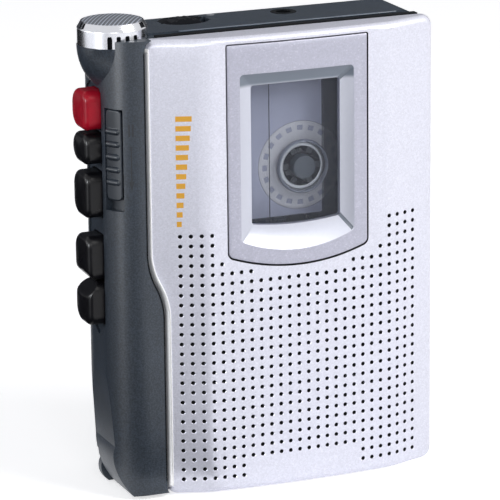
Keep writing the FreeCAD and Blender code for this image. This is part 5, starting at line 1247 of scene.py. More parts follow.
    def opening(self, lid):
        """The edge of the trim's opening: its loop carried from the face to the inner face."""
        loop = trim_loop(lid.sizes, OPENING_GAP)
        rings = [lid.on_front(loop), lid.on_front(loop, lid.sizes.lid_wall)]
        return grid(rings, round_v=True).flipped().toned(1)

    def barrel(self, lid):
        """Round hinge barrel behind the right edge, with the web that carries it."""
        s = lid.sizes
        low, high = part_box("hinge_pins")
        x, y = (low.x + high.x) / 2, (low.y + high.y) / 2
        foot, head, radius = s.barrel_foot, s.barrel_head, s.barrel_radius
        edge, bore = 0.3 * MM, 0.75 * MM
        levels = np.array([foot, foot, foot + edge, head - edge, head, head])
        radii = np.array([bore, radius - edge, radius, radius, radius - edge, bore])
        rings = turned((x, y), radii[:, None], levels[:, None], circle(24))
        near, far = x + radius * 0.3, lid.high.x - 0.05 * MM
        back = s.lid_back - 1 * MM
        web = np.array([[near, back], [far, back], [far, y], [near, y]])
        return grid(rings, round_v=True) + tube([level(web, foot, 2), level(web, head, 2)])

    def cloth(self, lid):
        """A thin felt laid behind the holes, parallel to the lid's front."""
        s = lid.sizes
        reach = s.hole_pitch * s.grid_count / 2
        x = np.linspace(s.grid_x - reach, s.grid_x + reach, 40)
        z = np.linspace(s.grid_z - reach, s.grid_z + reach * 0.62, 20)
        points = lid.on_front(np.stack(np.meshgrid(x, z), axis=2), s.lid_wall + 0.01 * MM)
        return grid(points) + grid(points + np.array([0, 0.08 * MM, 0])).flipped()


class RECORDER_OT_window(bpy.types.Operator):
    """Makes the window trim with its sloped bezel"""

    bl_idname = "recorder.window"
    bl_label = "Window trim"

    def execute(self, context):
        """Loops from the back of the trim's edge over its face and down the slope to the pane."""
        s = context.scene.recorder_sizes
        lid = Lid(s)
        outer = trim_loop(s)
        bezel = (s.bezel_left, s.bezel_right, s.bezel_top, s.bezel_foot, s.bezel_curve)
        bezel = window_loop(*bezel, s.bezel_corner, s.bezel_corner)
        pane = (s.pane_left, s.pane_right, s.pane_top, s.pane_foot, s.pane_curve)
        pane = window_loop(*pane, s.pane_corner, s.pane_corner)
        soft = s.trim_soft
        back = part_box("window_frame")[1].y
        rings = [
            level(outer, back, 1),
            lid.on_front(outer, soft),
            lid.on_front(outer - outward(outer) * soft * 0.3, soft * 0.3),
            lid.on_front(outer - outward(outer) * soft),
            *[lid.on_front(outer * (1 - share) + bezel * share) for share in (0.25, 0.5, 0.75)],
            lid.on_front(bezel + outward(bezel) * soft),
            lid.on_front(bezel + outward(bezel) * soft * 0.3, soft * 0.2),
            lid.on_front(bezel - outward(bezel) * soft * 0.2, soft * 0.7),
            level(pane, s.pane_front - 0.05 * MM, 1),
            level(pane, back, 1),
        ]
        rings.append(rings[0])
        trim = grid(rings, round_v=True).flipped()
        tones = trim.tones.reshape(len(rings) - 1, len(outer))
        # The slope takes the bezel's plating, whose upper side is painted darker as painted shade;
        # the slope's right corners take the dark corner finish, also painted shade.
        tones[8:10] = 1
        for first in SLOPE_CORNERS:
            tones[9, first : first + 6] = 2
        trim.tones = tones.ravel()
        finishes = ["trim_silver", "bezel_plating", "bezel_corner"]
        replaced = ["window_frame"]
        piece("window_trim", trim, "lid", "trim_silver", finishes, 32, replaced, closed=False)
        return {"FINISHED"}


class RecorderControls(bpy.types.PropertyGroup):
    """Sizes of the keys, the pause slide and the details on the top."""

    key_face: length("Key face", "Where the outer faces of the keys lie", -44.25)
    key_root: length("Key root", "Where the keys enter the case", -38.9)
    key_front: length("Key front", "Front side of the keys", -6.9)
    key_rear: length("Key rear", "Rear side of the keys", 2.8)
    key_front_round: length("Key front round", "Radius of a key's front corners", 2.4)
    key_rear_round: length("Key rear round", "Radius of a key's rear corners", 3.8)
    key_edge: length("Key edge", "Radius of the edge round a key's face", 1.3)
    key_crown: length("Key crown", "How far a key's face bulges", 0.3)
    key_tail: length("Key tail", "Where the levers of the keys end", -22.0)
    key_slot_start: length("Lever slot start", "Outer end of a lever's slot", -31.5)
    key_slot_end: length("Lever slot end", "Inner end of a lever's slot", -26.0)
    grip_x: length("Grip axis across", "Axis of the round of the grip, across", -31.65)
    grip_y: length("Grip axis depth", "Axis of the round of the grip, in depth", -6.5)
    grip_radius: length("Grip radius", "Radius of the round of the grip", 8.3)
    slide_radius: length("Slide radius", "Distance of the slide's face from that axis", 8.2)
    slide_low: length("Slide foot", "Lower end of the slide", 75.0)
    slide_high: length("Slide head", "Upper end of the slide", 97.2)
    slide_from: angle("Slide start", "Angle of the slide's edge beside the keys", 17)
    slide_to: angle("Slide end", "Angle of the slide's edge beside the lid", 50.6)
    slide_corner: length("Slide corner", "Radius of the slide's corners", 1.3)
    slide_proud: length("Rib height", "How far the slide's ribs stand out", 0.7)
    slide_rib: length("Rib", "Half the thickness of a rib of the slide", 0.72)
    slide_first: length("First rib", "Height of the slide's lowest rib", 79.5)
    slide_pitch: length("Rib pitch", "Distance between the slide's ribs", 3.1)
    mark_left: length("Marks left", "Left end of the level bars", -24.1)
    mark_right: length("Marks right", "Right end of the longest level bar", -20.4)
    mark_low: length("Marks foot", "Lower end of the level bars", 67.9)
    mark_high: length("Marks head", "Upper end of the level bars", 96.1)
    bead_width: length("Bead width", "Width of the bead along the lid's left edge", 1.5)
    bead_out: length("Bead overhang", "How far the bead stands out from the lid's left edge", 0.28)
    bead_height: length("Bead height", "Height of the bead along the lid's left edge", 1.5)
    case_top: length("Case top", "Height of the case", 113.8)
    socket_x: length("Ear socket across", "Axis of the ear socket, across", 12.0)
    socket_y: length("Ear socket depth", "Axis of the ear socket, in depth", 4.2)
    rib_left: length("Top rib left", "Left end of the rib along the top", -20.0)
    rib_right: length("Top rib right", "Right end of the rib along the top", 37.0)
    rib_front: length("Top rib", "Depth of the rib along the top", -7.7)
    scoop_wide: length("Scoop width", "Half the width of the scoop round the wheel", 9.4)
    scoop_deep: length("Scoop depth", "Half the depth of that scoop", 7.6)


class RecorderMicrophone(bpy.types.PropertyGroup):
    """Sizes of the microphone's cap and gauze."""

    x: length("Axis across", "Axis of the microphone, across", -35.45)
    y: length("Axis depth", "Axis of the microphone, in depth", -3.8)
    seat: length("Seat", "Height of the cap's foot", 111.8)
    radius: length("Radius", "Radius of the cap", 8.45)
    shoulder: length("Shoulder", "Height at which the cap starts to narrow", 116.05)
    top: length("Top", "Highest point of the gauze", 117.86)
    rim: length("Rim", "Radius of the cap's mouth", 7.2)
    dome: length("Dome", "How far the middle of the gauze stands above its edge", 0.42)
    slot_half: length("Slot", "Half the width of a slot in the cap", 0.48)
    slot_height: length("Slot height", "Height of a slot", 3.1)
    slot_depth: length("Slot depth", "Depth of a slot", 0.7)
    mark_depth: length("Mark depth", "Depth of the marks on the cap's cone", 0.3)
    line_pitch: length("Line pitch", "Distance between the raised lines of the gauze", 0.95)
    line_turn: angle("Line turn", "Turn of those lines", 56.5)


class RecorderCassette(bpy.types.PropertyGroup):
    """Sizes of what shows of the cassette through the window."""

    hub_x: length("Hub", "Middle of the hubs across", 11.25)
    shell_face: length("Shell face", "Front of the cassette's thin part", -8.85)
    shell_wall: length("Shell wall", "Thickness of the cassette's shell", 1.3)
    hub_face: length("Hub face", "Front of the hub's wide ring", -7.4)
    collar_face: length("Collar face", "Front of the hub's neck", -8.6)
    collar_radius: length("Collar radius", "Middle radius of the hub's neck", 5.42)
    hub_hole: length("Hub hole", "Radius of the shell's hole", 6.25)
    hub_ring: length("Hub ring", "Radius of the hub's wide ring", 11.0)
    notch_radius: length("Notch ring", "Where the notches of the ring sit", 9.35)
    notch_size: length("Notch", "Half the size of a notch", 0.72)
    notch_count: bpy.props.IntProperty(
        name="Notches", description="Notches round the hub's ring", default=20
    )
    tip_radius: length("Tip radius", "Radius of the cap on a spindle's tip", 2.95)
    label_left: length("Label left", "Left edge of the label", -8.0)
    label_right: length("Label right", "Right edge of the label", 17.0)
    label_foot: length("Label foot", "Lower edge of the label", 65.6)
    label_head: length("Label head", "Upper edge of the label", 104.9)
    label_line: length("Label line", "The dark line beside the hub", 2.6)
    spring_left: length("Spring left", "Inner end of the lid's springs", 19.7)
    spring_right: length("Spring right", "Outer end of the lid's springs", 32.0)


def rounded(across, tall, radii, steps=8, side=10):
    """Anticlockwise rectangle with a radius at each corner, the lower left corner first. Every
    corner is an arc of equal steps and every side a row of equal ones."""
    signs = ((0, 0), (1, 0), (1, 1), (0, 1))
    arcs = []
    for number, ((i, j), radius) in enumerate(zip(signs, radii)):
        centre = (across[i] + (radius, -radius)[i], tall[j] + (radius, -radius)[j])
        arcs.append(arc(centre, radius, 180 + 90 * number, 270 + 90 * number, steps))
    loops = []
    for here, ahead in zip(arcs, arcs[1:] + arcs[:1]):
        loops += [here, line(here[-1], ahead[0], side)[1:]]
    return np.concatenate(loops)


def soft_plate(loop, low, high, axis, soft, steps=3):
    """A flat loop carried along an axis. Both rims are quarter circles: the loop is drawn in by
    soft (1 - cos t) while the height still lacks soft (1 - sin t)."""
    turn = np.linspace(0, math.pi / 2, steps + 1)
    normal = outward(loop)
    inset, lift = soft * (1 - np.cos(turn)), soft * (1 - np.sin(turn))
    near = [level(loop - normal * i, low + up, axis) for i, up in zip(inset[::-1], lift[::-1])]
    far = [level(loop - normal * i, high - up, axis) for i, up in zip(inset, lift)]
    return tube(near + far)


def block(across, deep, tall, soft=0.0):
    """A block between two corners with softened rims at both ends of its height."""
    loop = rounded(across, deep, (max(soft, 0.05 * MM),) * 4, 2, 2)
    return soft_plate(loop, tall[0], tall[1], 2, max(soft, 0.01 * MM))


def rounded_off(u, v, half_u, half_v, radius):
    """Draws a grid's corners onto quarter circles and adds each point's distance from the edge."""
    over_u = np.maximum(np.abs(u) - (half_u - radius), 0)
    over_v = np.maximum(np.abs(v) - (half_v - radius), 0)
    far = np.maximum(np.hypot(over_u, over_v), 1e-12)
    keep = np.minimum(1, radius / far)
    flat_u = np.sign(u) * (np.minimum(np.abs(u), half_u - radius) + over_u * keep)
    flat_v = np.sign(v) * (np.minimum(np.abs(v), half_v - radius) + over_v * keep)
    edge = np.minimum(half_u - np.abs(u), half_v - np.abs(v))
    corner = radius - np.minimum(far, radius)
    return flat_u, flat_v, np.where((over_u > 0) & (over_v > 0), corner, edge)


def eased_larger(first, second, ease):
    """The larger of two values, eased where they meet: half of a + b + sqrt((a - b)^2 + e^2)."""
    return (first + second + np.sqrt((first - second) ** 2 + ease**2)) / 2


class RECORDER_OT_keys(bpy.types.Operator):
    """Makes the five push keys with their stems and levers"""

    bl_idname = "recorder.keys"
    bl_label = "Keys"

    def execute(self, context):
        k = context.scene.recorder_controls
        for name, slants in KEY_SLANTS.items():
            low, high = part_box(name)
            slot = "record_red" if name == "record_key" else "key_black"
            shape = self.head(k, low.z, high.z, slants) + self.lever(k, (low.z + high.z) / 2)
            piece(name + "_moulding", shape, name, slot, sharp=42, replaces=[name])
        return {"FINISHED"}

    def head(self, k, low, high, slants):
        """Loops of a rounded rectangle that step outwards: full size along the sides, drawn in by
        r (1 - cos t) over the edge while r (1 - sin t) is left to the face, then shrunk towards the
        middle over the crown. A slant is a plane at 45 degrees that takes the place of the face."""
        radii = np.array([k.key_front_round, k.key_rear_round, k.key_rear_round, k.key_front_round])
        brim = k.key_face + k.key_crown

        def loop(inset):
            across, tall = (k.key_front + inset, k.key_rear - inset), (low + inset, high - inset)
            return rounded(across, tall, np.maximum(radii - inset, 0.3 * MM), 10, 12)

        rings = [level(loop(0), x, 0) for x in np.linspace(k.key_root, brim + k.key_edge, 9)]
        turn = np.radians(np.linspace(8, 90, 9))
        for inset, short in zip(k.key_edge * (1 - np.cos(turn)), k.key_edge * (1 - np.sin(turn))):
            rings.append(level(loop(inset), brim + short, 0))
        rim = loop(k.key_edge)
        middle = rim.mean(axis=0)
        for share in np.linspace(0.92, 0.05, 12):
            crown = k.key_face + k.key_crown * share**2
            rings.append(level(middle + (rim - middle) * share, crown, 0))
        rings = np.array(rings)
        for slant, rise in zip(slants, (low - rings[..., 2], rings[..., 2] - high)):
            if slant:
                eased = eased_larger(rings[..., 0], k.key_face + slant * MM + rise, 0.35 * MM)
                rings[..., 0] = np.minimum(eased, k.key_root)
        return tube(rings)

    def lever(self, k, middle):
        """Behind the key a stem, a foot across and a sheet lever, whose slot leaves two strips."""
        stem, foot, end = k.key_root - 0.3 * MM, k.key_root + 1.2 * MM, k.key_root + 2.5 * MM
        half, inner, lap, soft = 1.6 * MM, 0.6 * MM, 0.1 * MM, 0.1 * MM
        thin = (3 * MM, 4 * MM)
        wide = (middle - half, middle + half)
        slot = (k.key_slot_start - lap, k.key_slot_end + lap)
        return joined(
            [
                block((stem, end), (1.75 * MM, 2.4 * MM), wide, soft),
                block((foot, end), (1.75 * MM, 4 * MM), wide, soft),
                block((foot, k.key_slot_start), thin, wide, soft),
                block((k.key_slot_end, k.key_tail), thin, wide, soft),
                block(slot, thin, (middle - half, middle - inner), soft),
                block(slot, thin, (middle + inner, middle + half), soft),
            ]
        )


class RECORDER_OT_slide(bpy.types.Operator):
    """Makes the ribbed pause slide"""

    bl_idname = "recorder.slide"
    bl_label = "Pause slide"

    def execute(self, context):
        """A grid with rounded corners and an edge that falls off in a parabola, round the grip."""
        k = context.scene.recorder_controls
        half_u = (k.slide_to - k.slide_from) / 2 * k.slide_radius
        half_v = (k.slide_high - k.slide_low) / 2
        v, u = np.meshgrid(
            np.linspace(-half_v, half_v, 190), np.linspace(-half_u, half_u, 56), indexing="ij"
        )
        u, v, edge = rounded_off(u, v, half_u, half_v, k.slide_corner)
        turn = (k.slide_from + k.slide_to) / 2 + u / k.slide_radius
        z = v + (k.slide_high + k.slide_low) / 2
        drop = 1 - np.clip(edge / (0.35 * MM), 0, 1)
        face = k.slide_radius - 0.3 * MM * drop**2 + self.ribs(k, u, z, half_u)
        axis = (k.grip_x, k.grip_y)
        plate = sheet(turned(axis, -face, z, turn), turned(axis, -6.3 * MM, z, turn))
        shape = plate + self.tongue(k, axis)
        names = ("pause_slide_moulding", "pause_slider")
        # The slide takes the darker copy of the case plastic: painted shade.
        piece(names[0], shape, names[1], "key_black", ["slider_painted_shade"], replaces=["pause_slider"])
        return {"FINISHED"}

    def ribs(self, k, u, z, half_u):
        """Five half-round bars: the height is a circle of the distance from a bar's middle line."""
        beside = np.maximum(np.abs(u + 0.15 * MM) - (half_u - 1.15 * MM), 0)
        lift = np.zeros_like(u)
        for index in range(5):
            far = np.hypot(beside, z - (k.slide_first + index * k.slide_pitch)) / k.slide_rib
            lift = np.maximum(lift, k.slide_proud * np.sqrt(np.maximum(0, 1 - far**2)))
        return lift

    def tongue(self, k, axis):
        """The wider plate behind the wall that holds the slide in its slot."""
        turn = np.linspace(k.slide_from - math.radians(7), k.slide_to + math.radians(8), 16)
        z = np.array([[71.6], [98.8]]) * MM
        return sheet(turned(axis, -6.5 * MM, z, turn), turned(axis, -5.6 * MM, z, turn))


class RECORDER_OT_microphone(bpy.types.Operator):
    """Makes the microphone's chrome cap and domed gauze"""

    bl_idname = "recorder.microphone"
    bl_label = "Microphone"

    def execute(self, context):
        m = context.scene.recorder_microphone
        cap, gauze = self.cap(m), self.gauze(m)
        piece("microphone_cap", cap, "root", "mic_chrome", ["chrome", "felt"], 26, ["mic_cap"])
        piece("microphone_gauze", gauze, "root", "mesh_metal", ["wire_mesh"], 50, ["mic_grille"])
        return {"FINISHED"}

    def profile(self, up, mouth):
        """Heights over the seat and steps from the radius, from millimetres: foot, straight side,
        shoulder, cone, round mouth and bore."""
        outer = [(0.0, -0.55), (0.0, -0.15), (0.12, 0.0)]
        outer += [(height, 0.0) for height in np.linspace(0.2, up - 0.22, 26)]
        outer += [(up - 0.08, -0.04), (up + 0.04, -0.14)]
        cone = np.linspace(0.06, 0.94, 12)
        outer += [(up + (mouth - up) * share, -0.14 - 0.8 * share) for share in cone]
        outer += [(mouth - 0.02, -1.0), (mouth + 0.02, -1.12), (mouth - 0.04, -1.22)]
        outer += [(mouth - 0.4, -1.25), (mouth - 1.2, -1.25), (up - 0.6, -0.95), (0.0, -0.95)]
        return np.array(outer).T[..., None] * MM

    def cap(self, m):
        """A profile turned about the axis. The slots and the marks on the cone are cut by moving
        points inwards where an angle and a height lie within half a slot's width of its line."""
        up, mouth = m.shoulder - m.seat, m.top - m.dome - m.seat
        height, short = self.profile(up / MM, mouth / MM)
        turn = circle(360)
        cut = np.zeros((len(height), 360))
        marks = np.zeros_like(cut)
        above = np.maximum(height - (m.slot_height - m.slot_half), 0)
        for place in CAP_SLOTS:
            far = np.hypot(self.aside(turn, place) * m.radius, above)
            cut = np.maximum(cut, np.clip((m.slot_half - far) / (0.1 * MM), 0, 1) * (height < up))
        on_cone = (height > up + 0.1 * MM) & (height < mouth - 0.1 * MM)
        for place, half in CAP_MARKS:
            near = np.abs(self.aside(turn, place) * m.radius) < half * MM
            marks = np.maximum(marks, near * on_cone)
        outside = short > -1.23 * MM
        deep = np.where(outside, cut * m.slot_depth + marks * m.mark_depth, 0)
        points = turned((m.x, m.y), m.radius + short - deep, m.seat + height, turn)
        made = grid(points, round_u=True, round_v=True)
        # The slots and the marks take the second finish, black: in the slots it is painted shade of
        # their depth.
        dark = np.maximum(cut, marks)
        dark = dark + np.roll(dark, -1, axis=0)
        made.tones = (dark + np.roll(dark, -1, axis=1) > 0.9).astype(int).ravel()
        return made

    def aside(self, turn, place):
        """Signed angle from a place in degrees, between minus and plus half a turn."""
        return (turn - math.radians(place) + math.pi) % (2 * math.pi) - math.pi

    def gauze(self, m):
        """Dome whose height falls with the square of the distance, with narrow raised lines."""
        turn = circle(180)
        share = np.linspace(1, 0.02, 60)[:, None]
        radii = (m.rim - 0.02 * MM) * share
        across = radii * np.sin(turn - m.line_turn)
        ridge = (0.5 + 0.5 * np.cos(across * 2 * math.pi / m.line_pitch)) ** 6
        dome = (m.dome - 0.06 * MM) * (1 - share**2)
        rise = dome + 0.05 * MM * ridge * np.minimum(1, (1 - share) * 12)
        rings = turned((m.x, m.y), radii, m.top - m.dome + rise, turn)
        foot = rings[0] - np.array([0, 0, 0.6 * MM])
        return tube([foot, *rings])


class RECORDER_OT_cassette(bpy.types.Operator):
    """Makes what shows of the cassette and the springs that hold it"""

    bl_idname = "recorder.cassette"
    bl_label = "Cassette"

    def execute(self, context):
        c = context.scene.recorder_cassette
        heights = []
        for node, body in (("supply_hub", "supply_reel"), ("take_up_hub", "take_up_reel")):
            # The hubs take the near-black core finish: painted shade of the bore.
            frame["nodes"][node].data.materials[0] = finish("hub_core")
            low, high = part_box(node)
            height = (low.z + high.z) / 2
            heights.append(height)
            self.hub(c, node, body, height)
        piece("slip_sheet", self.inner_sheet(c, heights[0]), "root", "nylon_white", ["inner_sheet"])
        piece("label_line", self.label_line(c), "root", "nylon_black")
        piece("lid_springs", self.springs(c), "lid", "spring_steel", replaces=["cassette_springs"])
        return {"FINISHED"}

    def hub(self, c, node, body, height):
        """The notched ring, the lip of the shell's hole, the spindle's cap and a hub's neck."""
        hub = (c.hub_x, height)
        piece(f"{node}_dial", self.dial(c, hub), body, "nylon_white", ["hub_dial", "hub_notch"])
        foot = c.shell_face + 0.02 * MM
        lip = domed_ring(hub, c.hub_hole + 0.1 * MM, 0.36 * MM, c.shell_face, -1.1 * MM, foot)
        piece(f"{node}_lip", lip, "root", "key_black", ["dark_lip"], sharp=60)
        tip = self.spindle_cap(c, hub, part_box(node.replace("hub", "spindle"))[0].y)
        piece(f"{node}_tip", tip, body, "nylon_black", ["spindle_cap"])
        foot = c.collar_face + 0.02 * MM
        collar = domed_ring(hub, c.collar_radius, 0.5 * MM, c.collar_face, -0.14 * MM, foot)
        piece(f"{node}_collar", collar, body, "mic_chrome", ["clear_lip"], sharp=60)

    def dial(self, c, hub):
        """Thin ring on the hub's face: a grid of radii and angles, sunk where a notch lies."""
        turn = circle(400)
        radii = np.linspace(c.hub_hole - 0.35 * MM, c.hub_ring - 0.03 * MM, 26)[:, None]
        step = 2 * math.pi / c.notch_count
        aside = ((turn + step / 2) % step - step / 2) * c.notch_radius
        far = np.maximum(np.abs(aside) / 1.15, np.abs(radii - c.notch_radius))
        notch = np.clip((c.notch_size - far) / (0.12 * MM), 0, 1)
        edge = np.clip((c.hub_ring - radii) / (0.3 * MM), 0, 1)
        face = c.hub_face - 0.03 * MM - 0.1 * MM * (1 - notch) * np.sqrt(edge)
        back = turned(hub, radii, c.hub_face + 0.02 * MM, turn, 1)[::-1]
        points = np.concatenate([turned(hub, radii, face, turn, 1), back])
        made = grid(points, round_u=True, round_v=True)
        around = notch + np.roll(notch, -1, axis=1)
        dark = np.zeros((52, 400))
        dark[:25] = (around[:-1] + around[1:]) > 2
        made.tones = dark.astype(int).ravel()
        return made

    def spindle_cap(self, c, hub, front):
        """Round cap on the spindle's tip: a profile with a quarter-round edge and a flat end."""
        edge = np.linspace(0, math.pi / 2, 6)
        soft, reach = 0.35 * MM, 1.95 * MM
        side = c.tip_radius - soft * (1 - np.cos(edge))
        radii = np.concatenate([[c.tip_radius], side, [1.2 * MM, 0.4 * MM]])
        forward = np.concatenate([[-0.3 * MM], reach + soft * np.sin(edge), [reach + soft] * 2])
        return tube(turned(hub, radii[:, None], front - forward[:, None], circle(48), 1))

    def inner_sheet(self, c, height):
        """Flat sheet behind the shell's wall, along rays from the hub's circle to a rectangle."""
        turn = circle(240) + 1e-4
        right, up = np.cos(turn), np.sin(turn)
        side = np.where(right > 0, c.label_right - c.hub_x, c.hub_x - c.label_left) / np.abs(right)
        end = np.where(up > 0, c.label_head - height, height - c.label_foot) / np.abs(up)
        inner = np.full(240, c.hub_ring + 0.08 * MM)
        outer = np.maximum(np.minimum(side, end), inner + 0.02 * MM)
        back = c.shell_face + c.shell_wall + np.array([[0.04], [0.04], [0.1], [0.1]]) * MM
        rings = turned((c.hub_x, height), np.array([inner, outer, outer, inner]), back, turn, 1)
        return grid(rings, round_u=True, round_v=True)

    def label_line(self, c):
        """Fine rib down the shell beside the hub."""
        across = (c.label_line - 0.11 * MM, c.label_line + 0.11 * MM)
        deep = (c.shell_face - 0.04 * MM, c.shell_face + 0.02 * MM)
        return block(across, deep, (64 * MM, 105 * MM))

    def springs(self, c):
        """Two bowed leaves behind the lid, strips whose depth is half a wave along their length."""
        low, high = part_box("cassette_springs")
        half, thick, room = 2 * MM, 0.25 * MM, 0.3 * MM
        share = np.linspace(0, 1, 24)
        x = c.spring_left + (c.spring_right - c.spring_left) * share
        bow = (high.y - low.y - room) * (1 - np.sin(share * math.pi))
        leaves = []
        for middle in (low.z + half, high.z - half):
            layers = []
            for y in (high.y - 0.27 * MM - bow, high.y - 0.27 * MM - bow + thick):
                flat = np.stack([x, y], axis=1)
                layers.append([level(flat, middle - half, 2), level(flat, middle + half, 2)])
            leaves.append(sheet(*layers))
        return joined(leaves)


class RECORDER_OT_details(bpy.types.Operator):
    """Makes the marks, the dark strips of painted shade by the lid and the small details of the top
    """

    bl_idname = "recorder.details"
    bl_label = "Details"

    def execute(self, context):
        k = context.scene.recorder_controls
        lid = Lid(context.scene.recorder_sizes)
        piece("level_bars", self.level_bars(k, lid), "lid", "lid_silver", ["orange_ink"])
        piece("pause_mark", self.pause_mark(k), "root", "case_plastic", ["pale_ink"])
        # Painted shade: a black strip stands in for the shadow gap between the grip and the lid.
        piece("lid_gap_shade", self.gap_shade(k, lid), "root", "rubber_black", ["felt"])
        # The bead takes the lighter copy of the lid's lacquer: painted highlight on the lid's left
        # edge.
        piece("lid_bead", self.bead(k, lid), "lid", "lid_silver", ["bead_painted_highlight"])
        # The rib takes the lighter copy of the case plastic: painted highlight along the top's
        # edge.
        piece("top_rib", self.top_rib(k), "root", "case_plastic", ["painted_rib_highlight"])
        # Painted shade: a black strip darkens the groove between the lid and the rib.
        piece("top_gap_shade", self.top_gap_shade(k), "root", "rubber_black", ["felt"])
        piece("socket_ring", self.socket_ring(k), "root", "nylon_black", ["felt"])
        low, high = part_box("volume_wheel")
        x, y = (low.x + high.x) / 2, (low.y + high.y) / 2
        piece("slot_ends", self.slot_ends(k, x), "root", "case_plastic")
        # Painted shade: a black sheet darkens the scoop round the wheel.
        piece("scoop_painted_shade", self.scoop_painted_shade(k, x, y), "root", "rubber_black", ["felt"])
        return {"FINISHED"}

    def level_bars(self, k, lid):
        """Twelve short bars, each longer than the one below, laid on the lid's face."""
        bars = []
        pitch = (k.mark_high - k.mark_low) / 12
        for index in range(12):
            wide = (k.mark_right - k.mark_left) * (0.3 + 0.7 * index / 11)
            low = k.mark_low + index * pitch
            x = np.linspace(k.mark_left, k.mark_left + wide, 8)
            z = np.linspace(low, low + pitch * 0.56, 4)
            flat = np.stack(np.meshgrid(x, z), axis=2)
            bars.append(sheet(lid.on_front(flat, -0.03 * MM), lid.on_front(flat, 0.02 * MM)))
        return joined(bars)

    def pause_mark(self, k):
        """Two upright bars above an arrow that points down, raised a little beside the slide."""
        return joined(
            [
                self.wrapped(k, 63.5, 0.22, 91, 94),
                self.wrapped(k, 69.5, 0.22, 91, 94),
                self.wrapped(k, 66.5, 0.14, 80, 88.5),
                self.wrapped(k, 66.5, 0.62, 77.8, 80, (0.05, 1)),
            ]
        )

    def wrapped(self, k, middle, half, low, high, ends=(1, 1)):
        """Strip round the grip at an angle in degrees; its width runs from one share to another."""
        v, u = np.meshgrid(np.linspace(0, 1, 8), np.linspace(-1, 1, 6), indexing="ij")
        aside = u * half * MM * (ends[0] + (ends[1] - ends[0]) * v)
        z = (low + (high - low) * v) * MM
        layers = []
        for radius in (k.grip_radius + 0.05 * MM, k.grip_radius - 0.02 * MM):
            turn = math.radians(middle) + aside / radius
            layers.append(turned((k.grip_x, k.grip_y), -radius, z, turn))
        return sheet(*layers)

    def gap_shade(self, k, lid):
        """Black strip along the grip's edge, painted shade of the gap beside the lid: the lid's
        outline grown outwards, a little proud.
        """
        run, aside = lid.left_run(3.4 * MM, 2.4 * MM)
        front = k.grip_y - k.grip_radius
        corners = ((0.42, -0.2), (0.42, 0.1), (0.72, 0.06), (0.72, -0.2))
        rings = [level(run + aside * grow * MM, front - lift * MM, 1) for grow, lift in corners]
        return tube(np.array(rings).transpose(1, 0, 2))

    def bead(self, k, lid):
        """Bead along the lid's left edge: half an ellipse across, carried along the outline."""
        run, aside = lid.left_run(1.2 * MM, 1.2 * MM)
        count = np.arange(len(run))
        share = np.minimum(1, np.minimum(count, count[::-1]) / 2)
        rings = []
        for turn in np.linspace(0, math.pi, 13):
            flat = run + aside * (k.bead_out - k.bead_width * (1 - math.cos(turn)) / 2)
            behind = 0.6 * MM * (1 + math.cos(turn)) - k.bead_height * share * math.sin(turn)
            rings.append(lid.on_front(flat, behind))
        rings.append(lid.on_front(run + aside * (k.bead_out - k.bead_width / 2), 1.3 * MM))
        return tube(np.array(rings).transpose(1, 0, 2))

    def top_rib(self, k):
        """Round-ended rib along the top."""
        half, proud, sunk = 0.32 * MM, 0.3 * MM, 0.1 * MM
        deep = (k.rib_front - half, k.rib_front + half)
        loop = rounded((k.rib_left, k.rib_right), deep, (0.3 * MM,) * 4, 6, 12)
        return soft_plate(loop, k.case_top - sunk, k.case_top + proud, 2, 0.22 * MM)

    def top_gap_shade(self, k):
        """Dark strip in the gap between the lid and that rib: painted shade of the groove there."""
        deep = (-10.2 * MM, k.rib_front - 0.4 * MM)
        return block((-26.5 * MM, 41.5 * MM), deep, (112.6 * MM, 113.66 * MM))

    def socket_ring(self, k):
        """Flat ring round the ear socket's mouth, domed a little."""
        axis = (k.socket_x, k.socket_y)
        foot = k.case_top - 0.05 * MM
        return domed_ring(axis, 2.55 * MM, 0.7 * MM, k.case_top, 0.12 * MM, foot, 2, 9, 72)

    def slot_ends(self, k, middle):
        """Blocks that close the ends of the volume wheel's slot."""
        near, far = 6.3 * MM, 8.55 * MM
        deep, tall = (2.6 * MM, 6.8 * MM), (112.9 * MM, k.case_top)
        spans = ((middle - far, middle - near), (middle + near, middle + far))
        return joined([block(span, deep, tall) for span in spans])

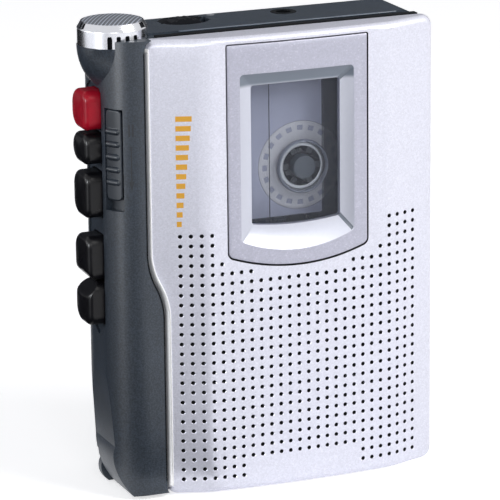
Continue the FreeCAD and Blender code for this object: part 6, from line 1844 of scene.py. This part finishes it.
    def scoop_painted_shade(self, k, x, y):
        """Two black half ellipses laid in the scoop beside the wheel's slot as painted shade. The
        scoop is part of an
        ellipsoid: 8 sqrt(1 - (x / a)^2 - (y / b)^2) below a level 5.8 over the case."""
        share = np.linspace(0.02, 0.985, 14)[:, None]
        halves = []
        for side in (-1, 1):
            turn = np.linspace(0, math.pi, 60) + (math.pi if side < 0 else 0)
            aside = 6.47 * MM * share * np.cos(turn)
            ahead = side * np.maximum(side * 5.23 * MM * share * np.sin(turn), 2.08 * MM)
            root = np.maximum(0, 1 - (aside / k.scoop_wide) ** 2 - (ahead / k.scoop_deep) ** 2)
            bowl = 5.8 * MM - 8.0 * MM * np.sqrt(root)
            layers = []
            for lift in (0.03 * MM, -0.02 * MM):
                z = k.case_top + np.minimum(bowl, 0) + lift
                layers.append(np.stack([x + aside, y + ahead, z], axis=2))
            halves.append(sheet(*layers))
        return joined(halves)


class RECORDER_PT_panel(bpy.types.Panel):
    """Lists the steps that dress the recorder"""

    bl_idname = "RECORDER_PT_panel"
    bl_label = "Recorder"
    bl_space_type = "VIEW_3D"
    bl_region_type = "UI"
    bl_category = "Recorder"

    def draw(self, context):
        for operator in STEPS:
            self.layout.operator(operator.bl_idname)


STEPS = (
    RECORDER_OT_finishes,
    RECORDER_OT_stage,
    RECORDER_OT_lid,
    RECORDER_OT_window,
    RECORDER_OT_keys,
    RECORDER_OT_slide,
    RECORDER_OT_microphone,
    RECORDER_OT_cassette,
    RECORDER_OT_details,
)
GROUPS = {
    "recorder_colours": RecorderColours,
    "recorder_sizes": RecorderSizes,
    "recorder_stage": RecorderStage,
    "recorder_controls": RecorderControls,
    "recorder_microphone": RecorderMicrophone,
    "recorder_cassette": RecorderCassette,
}


def register():
    """Registers the groups, the steps and the panel."""
    for kind in (*GROUPS.values(), *STEPS, RECORDER_PT_panel):
        bpy.utils.register_class(kind)
    for name, group in GROUPS.items():
        setattr(bpy.types.Scene, name, bpy.props.PointerProperty(type=group))


def unregister():
    """Takes them off again."""
    for name in GROUPS:
        delattr(bpy.types.Scene, name)
    for kind in reversed((*GROUPS.values(), *STEPS, RECORDER_PT_panel)):
        bpy.utils.unregister_class(kind)


def main():
    """Runs every step in order."""
    register()
    for step in STEPS:
        group, name = step.bl_idname.split(".")
        getattr(getattr(bpy.ops, group), name)()


if __name__ == "__main__":
    main()
